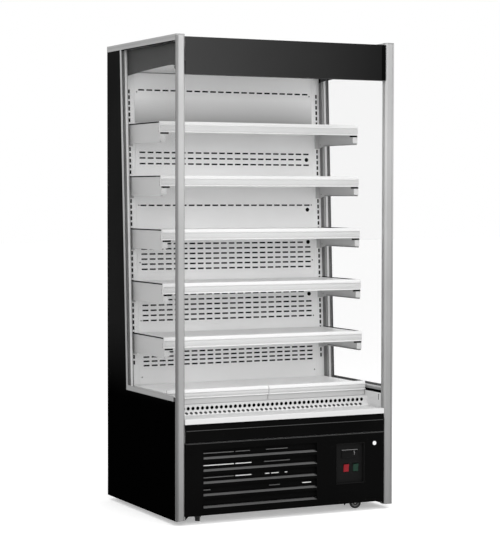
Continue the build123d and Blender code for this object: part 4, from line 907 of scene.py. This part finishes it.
# %% The louvred panel
FRONT = -377.0
FRONT_WALL, FRONT_BEVEL = 1.4, 0.3
FRONT_HALF, FRONT_INNER = 467.1, 453.1
FRONT_CORNER, FRONT_LOW, FRONT_HIGH = 22.2, 36.1, 333.6
LOUVRES, LOUVRE_PITCH, LOUVRE_LOW, LOUVRE_OPENING = 5, 50.3, 71.0, 33.0
LOUVRE_LEFT, LOUVRE_RIGHT = -385.0, 140.0
CONTROL_LEFT, CONTROL_RIGHT, CONTROL_LOW, CONTROL_HIGH = 234.3, 369.7, 121.3, 293.7
CUT_REACH = 5
FOLD_NEAR, FOLD_FAR = 465.6, 467
FOLD_START, FOLD_END = FRONT + 1, -362.2
TOP_FOLD_LOW, TOP_FOLD_HIGH, SIDE_FOLD_LOW, SIDE_FOLD_HIGH = 332, 333.5, 36.2, 333
front_outline = [(-FRONT_HALF, FRONT_CORNER), (-FRONT_INNER, FRONT_LOW), (FRONT_INNER, FRONT_LOW),
                 (FRONT_HALF, FRONT_CORNER), (FRONT_HALF, FRONT_HIGH), (-FRONT_HALF, FRONT_HIGH)]
front_sheet = section_bar("front_sheet", front_outline, FRONT, FRONT + FRONT_WALL, "Y", FRONT_BEVEL)
opening = bar("opening", (LOUVRE_LEFT, FRONT - CUT_REACH, LOUVRE_LOW),
              (LOUVRE_RIGHT, FRONT + CUT_REACH, LOUVRE_LOW + LOUVRE_OPENING))
cut(front_sheet, row_of(opening, LOUVRES, (0, 0, LOUVRE_PITCH)))
cut(front_sheet, bar("opening", (CONTROL_LEFT, FRONT - CUT_REACH, CONTROL_LOW),
                     (CONTROL_RIGHT, FRONT + CUT_REACH, CONTROL_HIGH)))
folds = [bar("fold", (-FOLD_FAR, FOLD_START, TOP_FOLD_LOW), (FOLD_FAR, FOLD_END, TOP_FOLD_HIGH))]
for _, side in SIDES:
    left, right = across(side, FOLD_NEAR, FOLD_FAR)
    folds.append(bar("fold", (left, FOLD_START, SIDE_FOLD_LOW), (right, FOLD_END, SIDE_FOLD_HIGH)))
front_sheet = joined("front_sheet", [tidy_mesh(front_sheet), *folds])
dressed(front_sheet, "front_black", "case", "lower_front_panel")
print("louvred panel faces", len(front_sheet.data.polygons))

# %% [markdown]
# ## Louvre lips
# Each opening keeps its lower edge, folded up and back as a lip. The lip's grey, against the black sheet, is
# a painted highlight. A lip is a drawn section, and its upper corner is pulled in at the right end, which
# gives it a slanted end.

# %% Louvre lips
LIP_SLANT, END_REACH = 16, 1
louvre_lows = [LOUVRE_LOW + number * LOUVRE_PITCH for number in range(LOUVRES)]


def lip_outline(low):
    """A lip in Y and Z, from the face of the sheet round and back into the opening."""
    return [(FRONT + 0.2, low - 5.8), (FRONT - 1.5, low - 4.9), (FRONT - 1.2, low + 0.4),
            (FRONT + 4.5, low + 3.4), (FRONT + 5.2, low + 2.2), (FRONT + 1.5, low - 0.6)]


lips = []
for low in louvre_lows:
    lip = section_bar("lip", lip_outline(low), LOUVRE_LEFT, LOUVRE_RIGHT)
    only(lip)
    bpy.ops.object.mode_set(mode="EDIT")
    pick_vertices(lip, lambda co: co.x > (LOUVRE_RIGHT - END_REACH) * MM and co.z > low * MM)
    bpy.ops.transform.translate(value=(-LIP_SLANT * MM, 0, 0))
    bpy.ops.object.mode_set(mode="OBJECT")
    lips.append(lip)
dressed(joined("louvre_lips", lips), "louvre_lip_highlight", "case")
print("louvre lips", len(lips))

# %% [markdown]
# ## Behind the louvres
# A black sheet behind the openings is painted shade over the condenser, thin blades cross the openings, and
# short lengths of tube show in them, one set with a painted highlight and one with painted shade. All are
# bars and rods placed row by row, and two light grey strips are painted highlights along the folds of the
# apron above.

# %% Shade sheet, blades, tubes and fold highlights
SHADE_SHEET_LEFT, SHADE_SHEET_RIGHT, SHADE_SHEET_LOW, SHADE_SHEET_HIGH = -400, 156, 64, 330
SHADE_SHEET_FRONT, SHADE_SHEET_REAR = -361, -359.4
BLADE_FRONT, BLADE_REAR, BLADE_LOW, BLADE_HIGH = FRONT + 8, FRONT + 14, 1.0, 2.5
PIPE_DEPTH, PIPE_RADIUS, PIPE_SIDES, PIPE_RISE = -367.5, 1.9, 10, 18
FOLD_HIGHLIGHT_HALF = 462
shade_sheet = bar("louvre_shade_sheet", (SHADE_SHEET_LEFT, SHADE_SHEET_FRONT, SHADE_SHEET_LOW),
                 (SHADE_SHEET_RIGHT, SHADE_SHEET_REAR, SHADE_SHEET_HIGH))
dressed(shade_sheet, "painted_shade_black", "case")
blades = [bar("blade", (LOUVRE_LEFT, BLADE_FRONT, low + BLADE_LOW),
              (LOUVRE_RIGHT, BLADE_REAR, low + BLADE_HIGH)) for low in louvre_lows]
dressed(joined("louvre_blades", blades), "front_black", "case")
# The bright tubes carry a painted highlight and the dim ones a painted shade.
# The row of each tube, counted from the lowest opening as 0, and its left and right end.
bright_pipes = [(2, -236, -163), (3, -383, -244), (3, -236, -163), (2, -99, -80), (2, -70, -36), (2, -6, 4),
                (1, 76, 117)]
dim_pipes = [(4, -383, -244), (4, -236, -170), (4, -95, 6), (3, -104, 16), (2, -383, -244), (1, -383, -350),
             (1, -80, -30)]
for name, spans, tone in (("bright_pipes", bright_pipes, "pipe_highlight"),
                          ("dim_pipes", dim_pipes, "pipe_shade")):
    pipes = [rod("pipe", ((left + right) / 2, PIPE_DEPTH, louvre_lows[row] + PIPE_RISE), PIPE_RADIUS,
                 right - left, "X", PIPE_SIDES) for row, left, right in spans]
    dressed(joined(name, pipes), tone, "case")
# Two light grey strips are painted highlights along the folds of the apron.
fold_highlights = [bar("fold_highlight", (-FOLD_HIGHLIGHT_HALF, FRONT - 0.35, 384.5), (FOLD_HIGHLIGHT_HALF, FRONT + 1.5, 387.2), 0.3),
           bar("fold_highlight", (-FOLD_HIGHLIGHT_HALF, FRONT - 0.25, 331.0), (FOLD_HIGHLIGHT_HALF, FRONT + 1, 333.5), 0.2)]
dressed(joined("front_fold_highlights", fold_highlights), "fold_highlight_grey", "case")
print("tubes", len(bright_pipes) + len(dim_pipes))

# %% [markdown]
# ## Canopy ends and seals
# A grey plate closes each end of the air canopy. Its lower edge rises from the back, levels out and turns
# down sharply behind the post, so it is drawn point by point and extruded by its wall. Black seals run where
# the glass meets the roof rail, and a black strip runs down the right end of the header.

# %% End plates, seals and header strip
POST_BACK = -348.6
END_NEAR, END_FAR, END_BEVEL = 473.3, 475.1, 0.2
SEAL_NEAR, SEAL_FAR, SEAL_BEVEL = 505.3, 507.2, 0.3
end_outline = [(217.6, 1969.2), (217.6, 1859), (150, 1863), (60, 1868), (-60, 1873), (-160, 1876),
               (-230, 1877.5), (-262, 1877), (-285, 1873.5), (-302, 1868), (-316, 1861), (-330, 1852),
               (POST_BACK, 1841), (POST_BACK, 1969.2)]
plates = [section_bar("end_plate", end_outline, *across(side, END_NEAR, END_FAR), bevel=END_BEVEL)
          for _, side in SIDES]
dressed(joined("canopy_end_plates", plates), "canopy_end_grey", "case", "canopy_ends")
seals = []
for _, side in SIDES:
    left, right = across(side, SEAL_NEAR, SEAL_FAR)
    seals.append(bar("seal", (left, POST_BACK + 0.1, 1965), (right, 300, 1968.9), SEAL_BEVEL))
seals.append(bar("header_end_strip", (448, -377.4, 1834), (467.1, -376.6, 1984), 0.1))
dressed(joined("black_seals", seals), "seal_and_shade_black", "case")
print("canopy ends", len(plates))

# %% [markdown]
# ## Glass trims
# Each side unit sits in an aluminium trim: a wide leaf outside, a narrow one inside and a web between
# them. Between the two panes lie a silver spacer and, further out, a grey edge seal. All five are the
# same bent outline at different widths, so one function draws them.

# %% Trims, spacers and edge seals round the glass
SILL, TRIM_TOP = 507.2, 1968.6
TRIM_REAR, TRIM_REAR_HEIGHT = 188.0, 1248.0
TRIM_BEVEL = 0.3
# The width along the sill, the width up the rear edge, and the near and far face of each leaf.
trim_leaves = ((22, 15, 505.6, 507.4), (9, 9, 475.6, 477.4), (8, 8, 477.2, 505.8))
SPACER_WIDTH, SPACER_NEAR, SPACER_FAR = 14, 482.0, 491.4
EDGE_SEAL_NEAR, EDGE_SEAL_FAR = 491.5, 501.0


def trim_section(width, rear_width):
    """The bent strip along the sill and up the leaning rear edge."""
    def rear(height):
        return TRIM_REAR + (height - TRIM_REAR_HEIGHT) * math.tan(LEAN)
    return [(POST_BACK, SILL), (rear(SILL), SILL), (rear(TRIM_TOP), TRIM_TOP),
            (rear(TRIM_TOP) - rear_width, TRIM_TOP), (rear(SILL + width) - rear_width, SILL + width),
            (POST_BACK, SILL + width)]


leaves = []
spacers = []
edge_seals = []
for _, side in SIDES:
    for width, rear_width, near, far in trim_leaves:
        leaves.append(section_bar("leaf", trim_section(width, rear_width), *across(side, near, far),
                                  bevel=TRIM_BEVEL))
    between = trim_section(SPACER_WIDTH, SPACER_WIDTH)
    spacers.append(section_bar("spacer", between, *across(side, SPACER_NEAR, SPACER_FAR)))
    edge_seals.append(section_bar("edge_seal", between, *across(side, EDGE_SEAL_NEAR, EDGE_SEAL_FAR)))
dressed(joined("trim_leaves", leaves), "drawn_aluminium", "case", "glass_trims")
dressed(joined("pane_spacers", spacers), "spacer_silver", "case", "glass_spacers")
dressed(joined("edge_seals", edge_seals), "seal_grey", "case")
print("trim leaves", len(leaves))

# %% [markdown]
# ## Controls
# The control recess holds a dark display window and two rockers. The recess is the CAD piece. The
# display gets a glossy window with a fine frame, and each rocker is a drawn section with a hollow
# face, rounded with Bevel and tipped to its off position.

# %% Display
WINDOW_LEFT, WINDOW_RIGHT, WINDOW_LOW, WINDOW_HIGH = 265.5, 340.5, 232.5, 262.8
window = bar("display_window", (WINDOW_LEFT, -369.9, WINDOW_LOW), (WINDOW_RIGHT, -366.0, WINDOW_HIGH), 0.6)
dressed(window, "display_lens", "case")
KEY_FACE, KEY_BACK, KEY_WIDTH, KEY_HEIGHT, KEY_BEVEL = -370.2, -369.4, 5, 2.2, 0.3
key_places = [(322, 256), (323, 250), (323, 244)]
frame_top = bar("display_frame", (WINDOW_LEFT - 1, KEY_FACE, 263.6), (WINDOW_RIGHT + 1, -368.4, 264.9), 0.2)
keys = [bar("key", (x, KEY_FACE, z), (x + KEY_WIDTH, KEY_BACK, z + KEY_HEIGHT), KEY_BEVEL)
        for x, z in key_places]
dressed(joined("display_frame", [frame_top, *keys]), "hub_grey", "case")
print("display keys", len(keys))

# %% Rockers
ROCKER_MIDDLE, ROCKER_HALF, ROCKER_BEVEL = 187.3, 12.4, 0.9
ROCKER_TIP = math.radians(8)
to_pivot = Matrix.Translation((0, -360, ROCKER_MIDDLE))
tip = to_pivot @ Matrix.Rotation(ROCKER_TIP, 4, "X") @ to_pivot.inverted()
rocker_outline = [(-357.6, 182.0), (-363.3, 171.4), (-368.4, 171.4), (-366.2, ROCKER_MIDDLE),
                  (-368.4, 203.2), (-363.3, 203.2), (-357.6, 192.6)]
for name, middle, colour, node in (("power_rocker", 288.3, "rocker_red", "power_switch"),
                                   ("light_rocker", 334.3, "rocker_green", "light_switch")):
    rocker = section_bar(name, rocker_outline, middle - ROCKER_HALF, middle + ROCKER_HALF, bevel=ROCKER_BEVEL)
    dressed(moved(rocker, tip), colour, name, node)
print("rockers tipped", round(math.degrees(ROCKER_TIP)), "degrees")

# %% [markdown]
# ## Panel lock
# A small round lock holds the front panel. Its flange and key face are one section spun about its
# axis, as on a lathe, and a thin bar cuts the key slot.

# %% Lock
LOCK_X, LOCK_HEIGHT = 420, 287
KEY_HALF_WIDTH, KEY_HALF_HEIGHT = 0.8, 4.5
lock_section = [(0.0, 12), (0.0, -1.4), (4.5, -1.7), (7.6, -1.5), (8.8, -0.6), (9.0, 0.2), (7.8, 0.6),
                (7.8, 12)]
lock = moved(turned("panel_lock", lock_section), Matrix.Translation((LOCK_X, FRONT, LOCK_HEIGHT)))
cut(lock, bar("key_slot", (LOCK_X - KEY_HALF_WIDTH, FRONT - 3, LOCK_HEIGHT - KEY_HALF_HEIGHT),
              (LOCK_X + KEY_HALF_WIDTH, FRONT - 0.8, LOCK_HEIGHT + KEY_HALF_HEIGHT)))
dressed(tidy_mesh(lock), "lock_white", "case")
print("lock faces", len(lock.data.polygons))

# %% [markdown]
# ## Casters
# A caster wheel is turned: a rubber tread with rounded shoulders round a plain hub. Its section is
# drawn once and spun about the axle, which gives true circles where the CAD model has flats. The
# wheel is made at the origin and carried to its place by one matrix, its stand, which holds where
# the caster is, how it is swivelled and how far its axle trails.

# %% Where the casters stand
TRAIL = 22.0
WHEEL_RADIUS = 25.0
casters = (("front_left", -385, -316, 64), ("front_right", 385, -316, 154),
           ("rear_left", -385, 300, 90), ("rear_right", 385, 300, 90))


def swivel_stand(x, y, yaw):
    """The place and turn of one caster's swivel."""
    return Matrix.Translation((x, y, 0)) @ Matrix.Rotation(math.radians(yaw), 4, "Z")


print("casters", len(casters))

# %% Wheels and axle bolts
TYRE_STEPS, HUB_STEPS = 40, 32
BOLT_SIDE, BOLT_RADIUS, BOLT_LENGTH, BOLT_SIDES, BOLT_BEVEL = 13.6, 5.2, 3.0, 6, 0.5
tyre_section = [(16.5, -8.6), (22.0, -9.9), (24.2, -8.4), (24.95, -5), (24.95, 5), (24.2, 8.4), (22.0, 9.9),
                (16.5, 8.6)]
hub_section = [(3.2, -9.8), (8.5, -9.8), (9.5, -6.5), (16.6, -5.8), (16.6, 5.8), (9.5, 6.5), (8.5, 9.8),
               (3.2, 9.8)]
for name, x, y, yaw in casters:
    stand = swivel_stand(x, y, yaw) @ Matrix.Translation((TRAIL, 0, WHEEL_RADIUS))
    tyre = moved(turned(f"tyre_{name}", tyre_section, TYRE_STEPS), stand)
    dressed(tyre, "tread_rubber", f"wheel_{name}", f"caster_wheel_{name}")
    hub = moved(turned(f"hub_{name}", hub_section, HUB_STEPS), stand)
    dressed(hub, "hub_grey", f"wheel_{name}")
    bolts = [rod("bolt", (0, end * BOLT_SIDE, 0), BOLT_RADIUS, BOLT_LENGTH, "Y", BOLT_SIDES, BOLT_BEVEL)
             for end in (-1, 1)]
    carrier = f"fork_{name[6:]}" if name.startswith("front") else "case"
    bolts = joined(f"axle_bolts_{name}", [moved(bolt, stand) for bolt in bolts])
    dressed(bolts, "zinc_plate", carrier)
print("wheels", len(casters))

# %% [markdown]
# ## Brake tongues
# Each front caster is braked by a tongue that reaches over the tyre and ends in a pad for the foot.
# The tongue is a drawn section that clears the tyre at every angle, and the pad is a bar joined on.

# %% Brake tongues
TONGUE_HALF, TONGUE_BEVEL = 9.5, 0.8
PAD_NEAR, PAD_FAR, PAD_LOW, PAD_HIGH, PAD_HALF, PAD_BEVEL = 64.8, 69.5, 14.5, 30, 17, 1.5
tongue_section = [(29.5, 57.2), (36, 57.6), (50, 54.5), (57, 47), (58.4, 36), (64, 27), (68.5, 17),
                  (64.6, 16.4), (60.5, 24), (56.6, 33.5), (54.3, 45), (48.5, 50.2), (34, 51.2), (29.5, 52)]
for name, x, y, yaw in casters[:2]:
    tongue_name = f"brake_tongue_{name}"
    tongue = section_bar(tongue_name, tongue_section, -TONGUE_HALF, TONGUE_HALF, "Y", TONGUE_BEVEL)
    pad = bar("pad", (PAD_NEAR, -PAD_HALF, PAD_LOW), (PAD_FAR, PAD_HALF, PAD_HIGH), PAD_BEVEL)
    tongue = moved(joined(tongue_name, [tongue, pad]), swivel_stand(x, y, yaw))
    dressed(tongue, "moulded_black", f"pedal_{name[6:]}", f"brake_pedal_{name}")
print("brake tongues ready")

# %% [markdown]
# ## Fasteners outside
# The rear cover is screwed on. One screw head is rounded over, then copied to its places.

# %% Rear cover screws
COVER_FACE = 378.6
COVER_SCREW_RADIUS, COVER_SCREW_LENGTH, COVER_SCREW_SIDES, COVER_SCREW_BEVEL = 4.0, 0.8, 16, 0.3
cover_places = [(x, COVER_FACE, z) for x in (-480, -160, 160, 480) for z in (38, 201)]
cover_screw = rod("cover_screw", cover_places[0], COVER_SCREW_RADIUS, COVER_SCREW_LENGTH, "Y",
                  COVER_SCREW_SIDES, COVER_SCREW_BEVEL)
cover_screws = copies_at(cover_screw, cover_places)
dressed(joined("cover_screws", cover_screws), "zinc_plate", "case")
print("cover screws", len(cover_screws))

# %% [markdown]
# ## Studio
# A pale floor, a white surround and three broad lamps. The surround is white to the camera, and to
# glass and gloss, but lights the object at a plain level. The floor is lifted for the camera alone,
# so that it ends in the same white as the surround and throws no extra light on the object.

# %% Floor
# The floor's size and middle are in metres.
FLOOR_SIZE, FLOOR_MIDDLE = 60, (0, 10, 0)
FLOOR_TONE, FLOOR_ROUGHNESS, FLOOR_GLOSS = 0.9, 0.9, 0.1
FLOOR_LIFT = 0.36
WHITE = (1, 1, 1, 1)
bpy.ops.object.select_all(action="DESELECT")
bpy.ops.mesh.primitive_plane_add(size=FLOOR_SIZE, location=FLOOR_MIDDLE)
floor = bpy.context.object
floor.name = "studio_floor"
floor_paint = bpy.data.materials.new("studio_floor")
floor_paint.use_nodes = True
floor_tree = floor_paint.node_tree
floor_shader = floor_tree.nodes["Principled BSDF"]
for socket, value in (("Base Color", (FLOOR_TONE, FLOOR_TONE, FLOOR_TONE, 1)), ("Roughness", FLOOR_ROUGHNESS),
                      ("Specular IOR Level", FLOOR_GLOSS), ("Emission Color", WHITE)):
    floor_shader.inputs[socket].default_value = value
seen = floor_tree.nodes.new("ShaderNodeLightPath")
lift = floor_tree.nodes.new("ShaderNodeMath")
lift.operation = "MULTIPLY"
lift.inputs[1].default_value = FLOOR_LIFT
floor_tree.links.new(seen.outputs["Is Camera Ray"], lift.inputs[0])
floor_tree.links.new(lift.outputs[0], floor_shader.inputs["Emission Strength"])
floor.data.materials.append(floor_paint)
print("floor ready")

# %% Surround
SURROUND_LIGHT, SURROUND_SEEN = 0.75, 1.0
surround = bpy.data.worlds.new("studio_surround")
scene.world = surround
surround.use_nodes = True
sky = surround.node_tree
light_path = sky.nodes.new("ShaderNodeLightPath")


def either(first, second):
    """The larger of two outputs of the surround's nodes."""
    larger = sky.nodes.new("ShaderNodeMath")
    larger.operation = "MAXIMUM"
    sky.links.new(first, larger.inputs[0])
    sky.links.new(second, larger.inputs[1])
    return larger.outputs[0]


direct = either(light_path.outputs["Is Camera Ray"], light_path.outputs["Is Transmission Ray"])
glossy = either(direct, light_path.outputs["Is Glossy Ray"])
strength = sky.nodes.new("ShaderNodeMapRange")
strength.inputs["To Min"].default_value = SURROUND_LIGHT
strength.inputs["To Max"].default_value = SURROUND_SEEN
sky.links.new(glossy, strength.inputs["Value"])
sky.nodes["Background"].inputs["Color"].default_value = WHITE
sky.links.new(strength.outputs["Result"], sky.nodes["Background"].inputs["Strength"])
print("surround ready")

# %% Lamps


def area_lamp(name, place, aim, size, power):
    """A square lamp that faces a point, placed and sized in metres, its power in watts."""
    lamp = bpy.data.objects.new(name, bpy.data.lights.new(name, "AREA"))
    lamp.data.size = size
    lamp.data.energy = power
    lamp.location = place
    lamp.rotation_euler = (Vector(aim) - Vector(place)).to_track_quat("-Z", "Y").to_euler()
    scene.collection.objects.link(lamp)


area_lamp("front_lamp", (-1.2, -4.5, 2.6), (0, 0, 1.1), 2.6, 95)
area_lamp("left_lamp", (-4.5, -1.0, 2.6), (0, 0, 1.0), 2.2, 30)
area_lamp("top_lamp", (0.5, -0.8, 4.2), (0, -0.2, 1.0), 2.4, 60)
print("lamps ready")

# %% [markdown]
# ## Camera
# The camera stands well back, to the left of the fridge and at chest height. A long lens from far away
# keeps the posts almost upright, so it can look down a little and needs hardly any lens shift.

# %% Camera
# The place and the seeing distance are in metres, the turn in degrees.
CAMERA_PLACE = (-3.4670, -7.0543, 1.3482)
CAMERA_TURN = (87.666, -0.103, -26.238)
LENS_LENGTH, SENSOR_WIDTH, LENS_SHIFT = 116.58, 36, -0.02
SEEING_DISTANCE = 200
lens = bpy.data.cameras.new("photo_camera")
camera = bpy.data.objects.new("photo_camera", lens)
scene.collection.objects.link(camera)
camera.location = CAMERA_PLACE
camera.rotation_euler = [math.radians(angle) for angle in CAMERA_TURN]
lens.lens = LENS_LENGTH
lens.sensor_width = SENSOR_WIDTH
lens.shift_y = LENS_SHIFT
lens.clip_end = SEEING_DISTANCE
scene.camera = camera
scene.view_settings.view_transform = "Standard"
print("camera at", tuple(round(v, 3) for v in camera.location))
